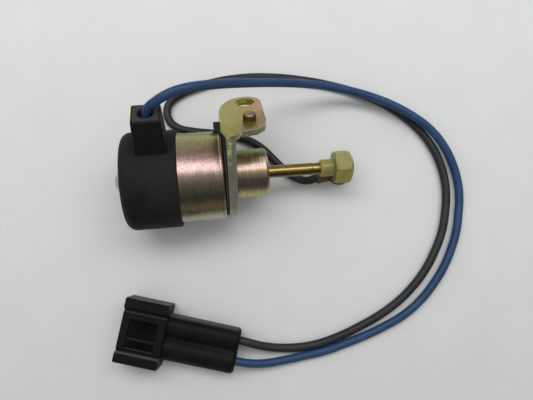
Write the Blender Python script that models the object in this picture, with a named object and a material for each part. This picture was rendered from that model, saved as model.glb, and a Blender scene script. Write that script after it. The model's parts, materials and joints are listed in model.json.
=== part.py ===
"""Idle stop solenoid: can with a rubber boot, bracket with a bent ear, push rod with a nylon tip."""

import math

import bmesh
import bpy
from mathutils import Matrix, Vector

# All sizes are in millimetres, and MM turns them into metres.
MM = 0.001

# Clearances between neighbours
SEAT = 0.3
SLIDE = 0.1
THIN_SEAT = 0.25

# Sides of the round pieces
SIDES_LARGE = 48
SIDES_MID = 32
SIDES_SMALL = 24

# Along the axis, x = 0 is the boot's rear face. The plunger slides along +X.
CAN_RADIUS = 14.15
CAN_WALL = 1.2
CAN_FRONT_X = 31.9
CAN_RIM = 0.75
CAN_LIP = 1.9
CAN_LIP_THICKNESS = 0.55

BOOT_LENGTH = 18.1
BOOT_WALL = 1.05
BOOT_RADIUS = CAN_RADIUS + SEAT + BOOT_WALL
BOOT_CORNER = 3.4
BOOT_LIP = 0.6
BOOT_BACK_WALL = 2.0

LUG_ANGLE = 53.0
LUG_CENTRE_X = 10.7
LUG_LENGTH = 8.6
LUG_WIDTH = 8.2
LUG_STAND = 11.4
LUG_TOP = BOOT_RADIUS + LUG_STAND
LUG_ROOT = 3.0
LUG_DRAFT = 0.6
LUG_EDGE = 0.5
LUG_MOUTH = 0.4
LUG_MOUTH_DEPTH = 2.0

TAIL_RADIUS = 2.4
DOME_RADIUS = 3.9
DOME_STAND = 2.4
STOP_THICKNESS = 2.4
STOP_FLANGE = 2.0
STOP_STEP = 1.1
DOME_RIM = 1.3

TUBE_BORE = 5.3
TUBE_WALL = 0.45
BOBBIN_WALL = 0.8
BOBBIN_CHEEK = 1.1
BOBBIN_ROOM = 0.75
BOBBIN_RADIUS = CAN_RADIUS - CAN_WALL - BOBBIN_ROOM
WINDING_INSET = 0.85
WRAP_THICKNESS = 0.35

PLATE_THICKNESS = 1.6
GASKET_THICKNESS = 0.5
GASKET_INSET = 1.15
GASKET_RADIUS = CAN_RADIUS - GASKET_INSET
TAB_ANGLE = 15.0
TAB_WIDTH = 4.2
TAB_STAND = 2.9
TAB_FOLD = 0.4
TAB_LENGTH = 2.9

BRACKET_ANGLE = 39.0
BRACKET_THICKNESS = 2.65
BRACKET_INSET = 1.05
BRACKET_RADIUS = CAN_RADIUS - BRACKET_INSET
FLANGE_SHOULDER = 8.0
FLANGE_TOP_INSET = 5.6
EAR_STAND = 6.85
EAR_HEIGHT = CAN_RADIUS + EAR_STAND
EAR_THICKNESS = 2.2
EAR_REACH = 12.3
EAR_LOBE = 1.3
EAR_NARROWING = 0.2
EAR_NEAR_INSET = 1.9
EAR_HALF_WIDTH = BRACKET_RADIUS - EAR_NARROWING
EAR_SHOULDER_LENGTH = 8.5
EAR_SHOULDER_WIDTH = 11.5
EAR_NOSE = 4.4
BEND_RADIUS = 4.0
BEND_FILLET = 1.4
BEND_OVERLAP = 0.4
EAR_HOLE_RADIUS = 2.9
EAR_HOLE_X = 7.3
EAR_HOLE_INSET = 4.4
EAR_HOLE_ACROSS = EAR_HALF_WIDTH - EAR_HOLE_INSET
PIN_RADIUS = 2.0
PIN_HEIGHT = 2.2
PIN_X = 7.5
PIN_INSET = 8.4
PIN_ACROSS = PIN_INSET - EAR_HALF_WIDTH

SPIGOT_RADIUS = 5.0
COLLAR_RADIUS = 7.8
COLLAR_LENGTH = 10.05
COLLAR_CHAMFER = 0.7

ROD_RADIUS = 2.0
ROD_EXPOSED = 17.4
STROKE = 6.0
PLUNGER_LENGTH = 12.5
ROD_SOCKET = 3.0
PLUNGER_EDGE = 0.4
ROD_EDGE = 0.3
SHIM_THICKNESS = 0.3
BUMPER_THICKNESS = 1.0
SPRING_RADIUS = 3.1
SPRING_WIRE = 0.55
SPRING_TURNS = 6.0
SPRING_PLUNGER_POCKET = 3.0
SPRING_POLE_POCKET = 3.4

BUSH_WALL = 1.1
BUSH_LENGTH = 6.0
SEAL_RADIUS = 0.75
SEAL_POCKET = 2.1
BUSH_STEP = 0.3

STEM_RADIUS = 2.8
STEM_LENGTH = 4.6
HEAD_ACROSS_FLATS = 10.0
HEAD_LENGTH = 5.6
HEAD_CHAMFER = 0.9
HEAD_TURN = 105.0
ROD_IN_TIP = 6.4
PAD_RADIUS = 3.7
PAD_DEPTH = 0.8
PAD_DOME = 0.9

LEAD_RADIUS = 1.4
CRIMP_RADIUS = 1.75
CRIMP_LENGTH = 5.0
CRIMP_STAND = 4.1
CRIMP_TOP = BOOT_RADIUS + CRIMP_STAND

# The leads and the connector lie on the surface, in the frame of the whole part.
LEAD_SPACING = 7.0
CONNECTOR_PLACE = (-41.5, -50.7)
CONNECTOR_TURN = -16.5
BLOCK_LENGTH = 14.3
BLOCK_WIDTH = 20.8
BLOCK_HEIGHT = 11.4
CAVITY_DEPTH = 12.2
CAVITY_WIDTH = 14.6
CAVITY_HEIGHT = 7.4
CAVITY_FLOOR = 1.6
RAIL_WIDTH = 3.2
RAIL_STEP = 0.9
WINDOW_LENGTH = 9.4
WINDOW_WIDTH = 9.4
WINDOW_ACROSS = -0.8
RIB_ACROSS = -2.6
RIB_WIDTH = 0.6
RIB_RECESS = 0.6
BARREL_LENGTH = 24.0
BARREL_RADIUS = 4.1
BARREL_SPACING = 6.9
BARREL_BORE = 2.9
SEAL_LENGTH = 3.2
BLADE_WIDTH = 4.4
BLADE_THICKNESS = 0.8
BLADE_REACH = 0.3
CRIMP_BARREL = 1.9
CRIMP_SLEEVE = 6.5

RING_PLACE = (34.65, -5.4)
RING_TURN = 8.0
RING_OUTER = 3.9
RING_HOLE = 2.15
RING_THICKNESS = 0.8
FERRULE_START = 4.6
FERRULE_LENGTH = 3.6
FERRULE_RADIUS = 1.95

BLUE_ROUTE = (
    (-23.63, 7.67, 32.16),
    (-23.25, 10.57, 35.96),
    (-22.61, 12.0, 37.79),
    (-21.31, 13.12, 39.15),
    (-19.68, 13.87, 39.98),
    (-17.15, 14.96, 40.84),
    (-14.21, 15.97, 41.23),
    (-10.89, 16.85, 40.7),
    (-6.92, 17.78, 38.82),
    (-2.04, 18.92, 35.28),
    (3.82, 20.26, 30.2),
    (10.59, 21.64, 24.23),
    (17.99, 22.79, 18.18),
    (25.75, 23.31, 12.88),
    (33.75, 22.84, 8.94),
    (41.72, 21.21, 6.57),
    (49.21, 18.55, 5.43),
    (55.83, 15.15, 4.97),
    (61.64, 11.18, 4.64),
    (66.75, 6.58, 4.03),
    (70.91, 0.74, 3.06),
    (73.63, -5.93, 2.11),
    (74.78, -12.18, 1.55),
    (74.72, -17.28, 1.45),
    (73.9, -22.2, 1.45),
    (72.5, -28.2, 1.45),
    (70.1, -34.2, 1.45),
    (67.0, -39.9, 1.45),
    (62.8, -45.5, 1.45),
    (57.7, -50.7, 1.45),
    (51.7, -55.0, 1.45),
    (44.9, -58.2, 1.45),
    (38.2, -60.7, 1.45),
    (31.1, -62.8, 1.45),
    (24.3, -64.6, 1.45),
    (17.4, -65.6, 1.5),
    (10.6, -66.4, 1.9),
    (4.6, -66.7, 3.0),
    (-1.4, -66.0, 4.5),
    (-6.24, -64.68, 5.0),
    (-11.03, -63.26, 5.0),
)
BLACK_ROUTE = (
    (-9.07, -56.65, 5.0),
    (-4.28, -58.07, 5.0),
    (-0.2, -59.6, 4.6),
    (4.6, -61.3, 3.0),
    (10.0, -62.4, 1.7),
    (15.8, -62.7, 1.45),
    (22.5, -62.0, 1.45),
    (29.4, -60.2, 1.45),
    (36.4, -57.6, 1.45),
    (43.5, -54.4, 1.45),
    (49.6, -50.8, 1.45),
    (55.0, -46.5, 1.45),
    (60.0, -41.2, 1.45),
    (64.3, -34.8, 1.45),
    (67.6, -28.0, 1.45),
    (69.5, -21.1, 1.45),
    (70.35, -15.88, 1.45),
    (70.42, -10.93, 1.45),
    (69.46, -4.91, 1.45),
    (66.99, 1.85, 1.45),
    (62.87, 8.18, 1.45),
    (57.69, 13.36, 1.45),
    (51.68, 17.8, 1.45),
    (44.37, 21.76, 1.45),
    (35.0, 25.44, 1.45),
    (24.17, 28.48, 1.45),
    (13.05, 30.42, 1.45),
    (2.87, 30.96, 1.45),
    (-5.8, 30.26, 1.45),
    (-12.75, 28.75, 1.45),
    (-18.12, 26.85, 1.45),
    (-21.61, 24.4, 1.45),
    (-22.97, 21.14, 1.45),
    (-22.2, 17.7, 1.45),
    (-19.39, 15.08, 1.45),
    (-14.48, 13.49, 1.45),
    (-7.91, 12.22, 1.45),
    (-1.13, 10.72, 1.45),
    (4.42, 8.63, 1.45),
    (8.47, 5.8, 1.45),
    (11.58, 2.45, 1.45),
    (14.25, -0.77, 1.45),
    (16.79, -3.46, 1.45),
    (19.52, -5.67, 1.6),
    (23.0, -7.02, 1.9),
    (26.0, -6.62, 1.95),
    (28.93, -6.2, 1.95),
)

COLOURS = {
    "rubber": ((0.022, 0.022, 0.023), 0.75, 0.0),
    "chromate": ((0.46, 0.42, 0.27), 0.32, 1.0),
    "steel": ((0.62, 0.61, 0.57), 0.35, 1.0),
    "brass": ((0.62, 0.45, 0.17), 0.3, 1.0),
    "nylon": ((0.42, 0.38, 0.12), 0.4, 0.0),
    "copper": ((0.62, 0.28, 0.14), 0.35, 1.0),
    "card": ((0.05, 0.05, 0.05), 0.7, 0.0),
    "pad": ((0.09, 0.055, 0.02), 0.55, 0.0),
    "tape": ((0.55, 0.42, 0.14), 0.5, 0.0),
    "bobbin": ((0.70, 0.68, 0.60), 0.5, 0.0),
    "felt": ((0.32, 0.28, 0.22), 0.9, 0.0),
    "blue_pvc": ((0.035, 0.075, 0.19), 0.45, 0.0),
    "black_pvc": ((0.02, 0.02, 0.021), 0.45, 0.0),
    "connector": ((0.017, 0.018, 0.018), 0.45, 0.0),
}


def clear_scene():
    for obj in list(bpy.data.objects):
        bpy.data.objects.remove(obj, do_unlink=True)


def material(name):
    found = bpy.data.materials.get(name)
    if found:
        return found
    colour, roughness, metallic = COLOURS[name]
    made = bpy.data.materials.new(name)
    made.use_nodes = True
    shader = made.node_tree.nodes["Principled BSDF"]
    shader.inputs["Base Color"].default_value = (*colour, 1.0)
    shader.inputs["Roughness"].default_value = roughness
    shader.inputs["Metallic"].default_value = metallic
    return made


def new_object(name, bm, material_name, parent, smooth=35.0):
    """Makes a finished object from a bmesh and hangs it on its frame."""
    bmesh.ops.remove_doubles(bm, verts=bm.verts, dist=2e-6)
    bmesh.ops.recalc_face_normals(bm, faces=bm.faces)
    mesh = bpy.data.meshes.new(name)
    bm.to_mesh(mesh)
    bm.free()
    mesh.shade_smooth()
    mesh.set_sharp_from_angle(angle=math.radians(smooth))
    obj = bpy.data.objects.new(name, mesh)
    bpy.context.scene.collection.objects.link(obj)
    obj.parent = parent
    if material_name:
        mesh.materials.append(material(material_name))
    else:
        obj.hide_render = True
        obj.display_type = "WIRE"
    return obj


def frame_empty(name, parent=None):
    empty = bpy.data.objects.new(name, None)
    bpy.context.scene.collection.objects.link(empty)
    empty.parent = parent
    return empty


def turned_mesh(profile, sides):
    """Spins a closed outline of (x, radius) points about the X axis."""
    bm = bmesh.new()
    verts = [bm.verts.new((x * MM, 0.0, r * MM)) for x, r in profile]
    edges = [bm.edges.new((a, b)) for a, b in zip(verts, verts[1:] + verts[:1])]
    bmesh.ops.spin(
        bm,
        geom=verts + edges,
        cent=(0, 0, 0),
        axis=(1, 0, 0),
        angle=2 * math.pi,
        steps=sides,
        use_merge=True,
    )
    bmesh.ops.remove_doubles(bm, verts=bm.verts, dist=2e-6)
    return bm


def turned(name, profile, material_name, parent, sides=SIDES_MID):
    return new_object(name, turned_mesh(profile, sides), material_name, parent)


def prism_mesh(outline, low, high, frame):
    """Extrudes a closed outline of (u, v) points from low to high along w, in the axes (u, v, w) of frame."""
    bm = bmesh.new()
    verts = [bm.verts.new((u * MM, v * MM, low * MM)) for u, v in outline]
    face = bm.faces.new(verts)
    grown = bmesh.ops.extrude_face_region(bm, geom=[face])["geom"]
    moved = [item for item in grown if isinstance(item, bmesh.types.BMVert)]
    bmesh.ops.translate(bm, verts=moved, vec=(0, 0, (high - low) * MM))
    bmesh.ops.transform(bm, matrix=frame, verts=bm.verts)
    return bm


def prism(name, outline, low, high, frame, material_name, parent):
    return new_object(name, prism_mesh(outline, low, high, frame), material_name, parent)


def apply_boolean(target, other, operation):
    modifier = target.modifiers.new(operation.lower() + "_" + other.name, "BOOLEAN")
    modifier.operation = operation
    modifier.solver = "EXACT"
    modifier.object = other


def soften(obj, width, angle=40.0, segments=2):
    modifier = obj.modifiers.new("edges", "BEVEL")
    modifier.width = width * MM
    modifier.segments = segments
    modifier.limit_method = "ANGLE"
    modifier.angle_limit = math.radians(angle)


def arc(centre, radius, start, end, steps):
    """Points on an arc from start to end degrees, both included."""
    points = []
    for i in range(steps + 1):
        a = math.radians(start + (end - start) * i / steps)
        points.append((centre[0] + radius * math.cos(a), centre[1] + radius * math.sin(a)))
    return points


def rectangle(length, width, corner=0.0, steps=3):
    """A rectangle about the origin, with round corners where a corner radius is given."""
    if not corner:
        return [
            (-length / 2, -width / 2),
            (length / 2, -width / 2),
            (length / 2, width / 2),
            (-length / 2, width / 2),
        ]
    points = []
    for sx, sy, start in ((1, 1, 0), (-1, 1, 90), (-1, -1, 180), (1, -1, 270)):
        centre = (sx * (length / 2 - corner), sy * (width / 2 - corner))
        points += arc(centre, corner, start, start + 90, steps)
    return points


def radial_frame(angle):
    """Axes for a piece that stands out of the solenoid: u along +X, v across, w outwards at the angle."""
    a = math.radians(angle)
    outwards = Vector((0, math.cos(a), math.sin(a)))
    along = Vector((1, 0, 0))
    across = outwards.cross(along)
    return Matrix((along, across, outwards)).transposed().to_4x4()


def axial_frame(angle):
    """Axes for a plate across the solenoid: u across, v outwards at the angle, w along +X."""
    a = math.radians(angle)
    outwards = Vector((0, math.cos(a), math.sin(a)))
    along = Vector((1, 0, 0))
    across = outwards.cross(along)
    return Matrix((across, outwards, along)).transposed().to_4x4()


# Places that follow from the sizes
CAN_REAR_X = BOOT_BACK_WALL + SEAT
STOP_X = CAN_REAR_X + CAN_WALL + SLIDE
GASKET_X = CAN_FRONT_X + THIN_SEAT
FLANGE_X = GASKET_X + GASKET_THICKNESS + THIN_SEAT
COLLAR_X = FLANGE_X + BRACKET_THICKNESS + SEAT
COLLAR_FRONT_X = COLLAR_X + COLLAR_LENGTH
PLATE_FRONT_X = CAN_FRONT_X - CAN_LIP_THICKNESS - SLIDE
PLATE_X = PLATE_FRONT_X - PLATE_THICKNESS
TUBE_RADIUS = TUBE_BORE + TUBE_WALL
BOBBIN_BORE = TUBE_RADIUS + SLIDE
BOBBIN_X = STOP_X + STOP_THICKNESS + SEAT
BOBBIN_FRONT_X = PLATE_X - SEAT
PLUNGER_RADIUS = TUBE_BORE - SLIDE
BUMPER_X = STOP_X + STOP_THICKNESS + SLIDE
PLUNGER_REAR_X = BUMPER_X + BUMPER_THICKNESS + SEAT
PLUNGER_FRONT_X = PLUNGER_REAR_X + PLUNGER_LENGTH
POLE_X = PLUNGER_FRONT_X + STROKE + SHIM_THICKNESS + 2 * SLIDE + SLIDE
TIP_X = COLLAR_FRONT_X + ROD_EXPOSED
HEAD_X = TIP_X + STEM_LENGTH
HEAD_FRONT_X = HEAD_X + HEAD_LENGTH


def can_profile():
    inner = CAN_RADIUS - CAN_WALL
    lip = CAN_RADIUS - CAN_LIP
    rear = arc((CAN_REAR_X + 1.5, CAN_RADIUS - 1.5), 1.5, 180, 90, 4)
    rim = arc((CAN_FRONT_X - CAN_RIM, CAN_RADIUS - CAN_RIM), CAN_RIM, 90, 0, 3)
    hole = TAIL_RADIUS + SLIDE
    return (
        [(CAN_REAR_X + CAN_WALL, hole), (CAN_REAR_X, hole)]
        + rear
        + rim
        + [
            (CAN_FRONT_X, lip),
            (CAN_FRONT_X - CAN_LIP_THICKNESS, lip),
            (CAN_FRONT_X - CAN_LIP_THICKNESS, inner),
            (CAN_REAR_X + CAN_WALL, inner),
        ]
    )


def make_can(root):
    can = turned("case_can", can_profile(), "chromate", root, SIDES_LARGE)
    hole = prism(
        "can_lead_hole",
        arc((LUG_CENTRE_X, 0), 1.6, 0, 345, 23),
        CAN_RADIUS - CAN_WALL - 1.5,
        CAN_RADIUS + 1.5,
        radial_frame(LUG_ANGLE),
        None,
        root,
    )
    apply_boolean(can, hole, "DIFFERENCE")
    return can


def make_boot(root):
    """A moulded cap with a square lug. The can, the riveted dome and the lead are cleared out of it."""
    corner = arc((BOOT_CORNER, BOOT_RADIUS - BOOT_CORNER), BOOT_CORNER, 180, 90, 6)
    front = arc((BOOT_LENGTH - BOOT_LIP, BOOT_RADIUS - BOOT_LIP), BOOT_LIP, 90, 0, 3)
    outline = [(0, 0)] + corner + front + [(BOOT_LENGTH, 0)]
    boot = turned("rear_boot", outline, "rubber", root, SIDES_LARGE)

    frame = radial_frame(LUG_ANGLE)
    lug_mesh = prism_mesh(rectangle(LUG_LENGTH, LUG_WIDTH, LUG_EDGE), CAN_RADIUS - LUG_ROOT, LUG_TOP, frame)
    outwards = (frame @ Vector((0, 0, 1))).normalized()
    spread = LUG_DRAFT / (LUG_WIDTH / 2)
    for vert in lug_mesh.verts:
        height = vert.co.dot(outwards)
        share = max(0.0, (LUG_TOP * MM - height) / ((LUG_TOP - CAN_RADIUS) * MM))
        flat = vert.co - outwards * height
        vert.co = outwards * height + flat * (1 + spread * share)
    bmesh.ops.translate(lug_mesh, verts=lug_mesh.verts, vec=(LUG_CENTRE_X * MM, 0, 0))
    lug = new_object("lug_block", lug_mesh, None, root)
    soften(lug, 0.35)
    apply_boolean(boot, lug, "UNION")

    room = CAN_RADIUS + SEAT
    clearance = turned(
        "boot_can_room",
        [(CAN_REAR_X - SEAT, 0), (CAN_REAR_X - SEAT, room), (BOOT_LENGTH + 2, room), (BOOT_LENGTH + 2, 0)],
        None,
        root,
        SIDES_LARGE,
    )
    apply_boolean(boot, clearance, "DIFFERENCE")
    dome_room = DOME_RADIUS + SEAT
    dome = turned(
        "boot_dome_room",
        [(-1, 0), (-1, dome_room), (CAN_REAR_X, dome_room), (CAN_REAR_X, 0)],
        None,
        root,
        SIDES_SMALL,
    )
    apply_boolean(boot, dome, "DIFFERENCE")
    bore = LEAD_RADIUS + SEAT
    splice = CRIMP_RADIUS + SEAT
    step = CRIMP_TOP + SEAT
    bore_mesh = turned_mesh(
        [
            (CAN_RADIUS - 1, 0),
            (CAN_RADIUS - 1, splice),
            (step, splice),
            (step + 0.8, bore),
            (LUG_TOP - LUG_MOUTH_DEPTH, bore),
            (LUG_TOP, bore + LUG_MOUTH),
            (LUG_TOP + 1, bore + LUG_MOUTH),
            (LUG_TOP + 1, 0),
        ],
        16,
    )
    bmesh.ops.transform(bore_mesh, matrix=frame @ x_to_w(), verts=bore_mesh.verts)
    bmesh.ops.translate(bore_mesh, verts=bore_mesh.verts, vec=(LUG_CENTRE_X * MM, 0, 0))
    lead_bore = new_object("lug_lead_bore", bore_mesh, None, root)
    apply_boolean(boot, lead_bore, "DIFFERENCE")
    return boot


def x_to_w():
    """Turns a piece that was spun about X so that its axis is w."""
    return Matrix.Rotation(math.radians(-90), 4, "Y")


def make_lug_splice(root):
    frame = radial_frame(LUG_ANGLE)
    place = Matrix.Translation((LUG_CENTRE_X * MM, 0, 0)) @ frame @ x_to_w()
    low = CRIMP_TOP - CRIMP_LENGTH
    waist = CRIMP_RADIUS - 0.35
    pocket = 0.95
    crimp = turned_mesh(
        [
            (low + 1.6, 0),
            (low + 1.6, pocket),
            (low, pocket),
            (low, CRIMP_RADIUS),
            (low + 1.5, CRIMP_RADIUS),
            (low + 2.0, waist),
            (CRIMP_TOP - 2.0, waist),
            (CRIMP_TOP - 1.5, CRIMP_RADIUS),
            (CRIMP_TOP, CRIMP_RADIUS),
            (CRIMP_TOP, 0),
        ],
        16,
    )
    bmesh.ops.transform(crimp, matrix=place, verts=crimp.verts)
    new_object("lead_crimp", crimp, "brass", root)
    start = BOBBIN_RADIUS + SEAT
    tail = turned_mesh([(start, 0), (start, 0.65), (low + 1.3, 0.65), (low + 1.3, 0)], 12)
    bmesh.ops.transform(tail, matrix=place, verts=tail.verts)
    new_object("coil_tail", tail, "copper", root)


def make_rear_stop(root):
    """The stop disc inside the can, with its tail peened over into a dome outside."""
    seat = CAN_REAR_X - SLIDE
    tip = -DOME_STAND
    dome = [(seat, DOME_RADIUS)]
    for i in range(1, 6):
        a = math.radians(90 * i / 6)
        radius = DOME_RADIUS * math.cos(a)
        x = (seat - DOME_RIM) - (seat - DOME_RIM - tip) * math.sin(a)
        dome.append((x, radius))
    profile = (
        [(tip, 0)]
        + dome[::-1]
        + [
            (seat, TAIL_RADIUS),
            (STOP_X, TAIL_RADIUS),
            (STOP_X, TUBE_RADIUS + STOP_FLANGE),
            (STOP_X + STOP_STEP, TUBE_RADIUS + STOP_FLANGE),
            (STOP_X + STOP_STEP, TUBE_BORE - SLIDE),
            (STOP_X + STOP_THICKNESS, TUBE_BORE - SLIDE),
            (STOP_X + STOP_THICKNESS, 0),
        ]
    )
    return turned("rear_stop", profile, "steel", root, SIDES_SMALL)


def ring(x0, x1, inner, outer):
    return [(x0, inner), (x0, outer), (x1, outer), (x1, inner)]


def make_coil(root):
    low = BOBBIN_X
    high = BOBBIN_FRONT_X
    drum = BOBBIN_BORE + BOBBIN_WALL
    profile = [
        (low, BOBBIN_BORE),
        (low, BOBBIN_RADIUS),
        (low + BOBBIN_CHEEK, BOBBIN_RADIUS),
        (low + BOBBIN_CHEEK, drum),
        (high - BOBBIN_CHEEK, drum),
        (high - BOBBIN_CHEEK, BOBBIN_RADIUS),
        (high, BOBBIN_RADIUS),
        (high, BOBBIN_BORE),
    ]
    turned("coil_bobbin", profile, "bobbin", root, SIDES_MID)
    start = low + BOBBIN_CHEEK + SEAT
    end = high - BOBBIN_CHEEK - SEAT
    inner = drum + SEAT
    wound = BOBBIN_RADIUS - WINDING_INSET
    turned("coil_winding", ring(start, end, inner, wound), "copper", root, SIDES_MID)
    tape = wound + SLIDE
    turned("coil_wrap", ring(start, end, tape, tape + WRAP_THICKNESS), "tape", root, SIDES_MID)


def make_magnetic_circuit(root):
    inner = CAN_RADIUS - CAN_WALL
    turned(
        "front_plate",
        ring(PLATE_X, PLATE_FRONT_X, BOBBIN_BORE, inner - SLIDE),
        "steel",
        root,
        SIDES_LARGE,
    )
    turned(
        "guide_tube",
        ring(STOP_X + STOP_STEP + SLIDE, PLATE_FRONT_X, TUBE_BORE, TUBE_RADIUS),
        "brass",
        root,
        SIDES_MID,
    )


def make_gasket(root):
    """A thin ring with one tab that is folded back into a block over the can's rim."""
    tab_height = CAN_RADIUS + TAB_STAND
    gasket = turned(
        "gasket",
        ring(GASKET_X, GASKET_X + GASKET_THICKNESS, SPIGOT_RADIUS + 0.6, GASKET_RADIUS),
        "card",
        root,
        SIDES_LARGE,
    )
    frame = radial_frame(TAB_ANGLE)
    front = GASKET_X + GASKET_THICKNESS
    riser = prism(
        "tab_riser",
        [
            (GASKET_X, -TAB_WIDTH / 2),
            (front, -TAB_WIDTH / 2),
            (front, TAB_WIDTH / 2),
            (GASKET_X, TAB_WIDTH / 2),
        ],
        GASKET_RADIUS - 1.5,
        tab_height - TAB_FOLD,
        frame,
        None,
        root,
    )
    back = front - TAB_LENGTH
    leaf = prism(
        "tab_leaf",
        [
            (back, -TAB_WIDTH / 2),
            (front - 0.1, -TAB_WIDTH / 2),
            (front - 0.1, TAB_WIDTH / 2),
            (back, TAB_WIDTH / 2),
        ],
        CAN_RADIUS + SEAT,
        tab_height,
        frame,
        None,
        root,
    )
    apply_boolean(gasket, riser, "UNION")
    apply_boolean(gasket, leaf, "UNION")
    return gasket


def ear_outline():
    """The ear seen from outside: u along the axis from the flange's rear face, v across."""
    half = EAR_HALF_WIDTH
    left = -EAR_LOBE
    right = EAR_REACH
    shoulder = []
    for i in range(9):
        a = math.radians(90 * i / 8)
        u = left + EAR_SHOULDER_LENGTH * (1 - math.cos(a))
        v = half - EAR_SHOULDER_WIDTH * (1 - math.sin(a))
        shoulder.append((u, v))
    nose = arc((right - EAR_NOSE, half - EAR_NOSE), EAR_NOSE, 90, 0, 6)
    near = [
        (right, PIN_ACROSS - 0.6),
        (right - 0.7, PIN_ACROSS - 3.2),
        (right - 3.1, -half + 2.8),
        (BRACKET_THICKNESS + BEND_FILLET, -BRACKET_RADIUS + EAR_NEAR_INSET),
        (BRACKET_THICKNESS, -BRACKET_RADIUS),
        (0.4, -BRACKET_RADIUS),
        (left, -half + 6.0),
    ]
    return shoulder + nose + near


def flange_outline():
    """The plate seen along the axis: u across, v outwards, round below, narrower on the lobe's side."""
    top = EAR_HEIGHT - EAR_THICKNESS / 2
    round_end = arc((0, 0), BRACKET_RADIUS, 180, 360, 24)
    return round_end + [
        (BRACKET_RADIUS, FLANGE_SHOULDER),
        (BRACKET_RADIUS - FLANGE_TOP_INSET, top),
        (-BRACKET_RADIUS, top),
    ]


def corner_section(offset, radius):
    """Outline of what the bend's rounding takes off, seen across the plate: u along the axis, w outwards."""
    out = 1.5
    curve = arc((offset + radius, EAR_HEIGHT - radius), radius, 180, 90, 6)
    return curve + [
        (offset + radius, EAR_HEIGHT + out),
        (offset - out, EAR_HEIGHT + out),
        (offset - out, EAR_HEIGHT - radius),
    ]


def bend_cutter(root):
    """A lofted cutter: a full bend radius at the near edge, fading to a small one at the lobe."""
    edge = -BRACKET_RADIUS
    stations = (
        (edge - 1.0, 0.0, BEND_RADIUS),
        (edge + 3.0, -0.35 * EAR_LOBE, BEND_RADIUS * 0.7),
        (edge + 8.0, -EAR_LOBE, 0.5),
    )
    bm = bmesh.new()
    rows = []
    for across, offset, radius in stations:
        row = [
            bm.verts.new((u * MM, across * MM, w * MM)) for u, w in corner_section(offset, radius)
        ]
        rows.append(row)
    for first, second in zip(rows, rows[1:]):
        count = len(first)
        for i in range(count):
            j = (i + 1) % count
            bm.faces.new((first[i], first[j], second[j], second[i]))
    bm.faces.new(rows[0])
    bm.faces.new(rows[-1][::-1])
    bmesh.ops.triangulate(bm, faces=bm.faces)
    bmesh.ops.transform(bm, matrix=radial_frame(BRACKET_ANGLE), verts=bm.verts)
    return new_object("bend_rounding", bm, None, root)


def make_bracket(root):
    """A thick plate, round at the bottom, bent over at the top into an ear with a bolt hole."""
    place = frame_empty("bracket_place", root)
    place.location = (FLANGE_X * MM, 0, 0)
    bracket = prism(
        "bracket",
        flange_outline(),
        0,
        BRACKET_THICKNESS,
        axial_frame(BRACKET_ANGLE),
        "chromate",
        place,
    )
    frame = radial_frame(BRACKET_ANGLE)
    low = EAR_HEIGHT - EAR_THICKNESS
    ear = prism("ear_plate", ear_outline(), low, EAR_HEIGHT, frame, None, place)
    apply_boolean(bracket, ear, "UNION")

    corner = (BRACKET_THICKNESS + BEND_FILLET, low - BEND_FILLET)
    inside = arc(corner, BEND_FILLET, 180, 90, 5)
    fillet_outline = inside + [
        (corner[0], low + BEND_OVERLAP),
        (BRACKET_THICKNESS - BEND_OVERLAP, low + BEND_OVERLAP),
        (BRACKET_THICKNESS - BEND_OVERLAP, corner[1]),
    ]
    across = Matrix.Rotation(math.radians(90), 4, "X")
    fillet = prism(
        "bend_fillet",
        fillet_outline,
        -BRACKET_RADIUS + EAR_NEAR_INSET,
        BRACKET_RADIUS - FLANGE_TOP_INSET - BEND_OVERLAP,
        frame @ across,
        None,
        place,
    )
    apply_boolean(bracket, fillet, "UNION")
    apply_boolean(bracket, bend_cutter(place), "DIFFERENCE")

    bolt = prism(
        "ear_bolt_hole",
        arc((EAR_HOLE_X, EAR_HOLE_ACROSS), EAR_HOLE_RADIUS, 0, 345, 23),
        low - 2,
        EAR_HEIGHT + 2,
        frame,
        None,
        place,
    )
    apply_boolean(bracket, bolt, "DIFFERENCE")
    pin_hole = prism(
        "ear_pin_hole",
        arc((PIN_X, PIN_ACROSS), PIN_RADIUS + SLIDE, 0, 345, 23),
        low - 2,
        EAR_HEIGHT + 2,
        frame,
        None,
        place,
    )
    apply_boolean(bracket, pin_hole, "DIFFERENCE")
    spigot_hole = turned(
        "flange_spigot_hole",
        [
            (-2, 0),
            (-2, SPIGOT_RADIUS + SEAT),
            (BRACKET_THICKNESS + 2, SPIGOT_RADIUS + SEAT),
            (BRACKET_THICKNESS + 2, 0),
        ],
        None,
        place,
        SIDES_MID,
    )
    apply_boolean(bracket, spigot_hole, "DIFFERENCE")

    pin_mesh = turned_mesh(
        [
            (low + 0.1, 0),
            (low + 0.1, PIN_RADIUS),
            (EAR_HEIGHT + PIN_HEIGHT - 0.4, PIN_RADIUS),
            (EAR_HEIGHT + PIN_HEIGHT, PIN_RADIUS - 0.4),
            (EAR_HEIGHT + PIN_HEIGHT, 0),
        ],
        SIDES_SMALL,
    )
    shift = Matrix.Translation((PIN_X * MM, PIN_ACROSS * MM, 0))
    bmesh.ops.transform(pin_mesh, matrix=frame @ shift @ x_to_w(), verts=pin_mesh.verts)
    new_object("locating_pin", pin_mesh, "steel", place)
    return bracket


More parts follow.
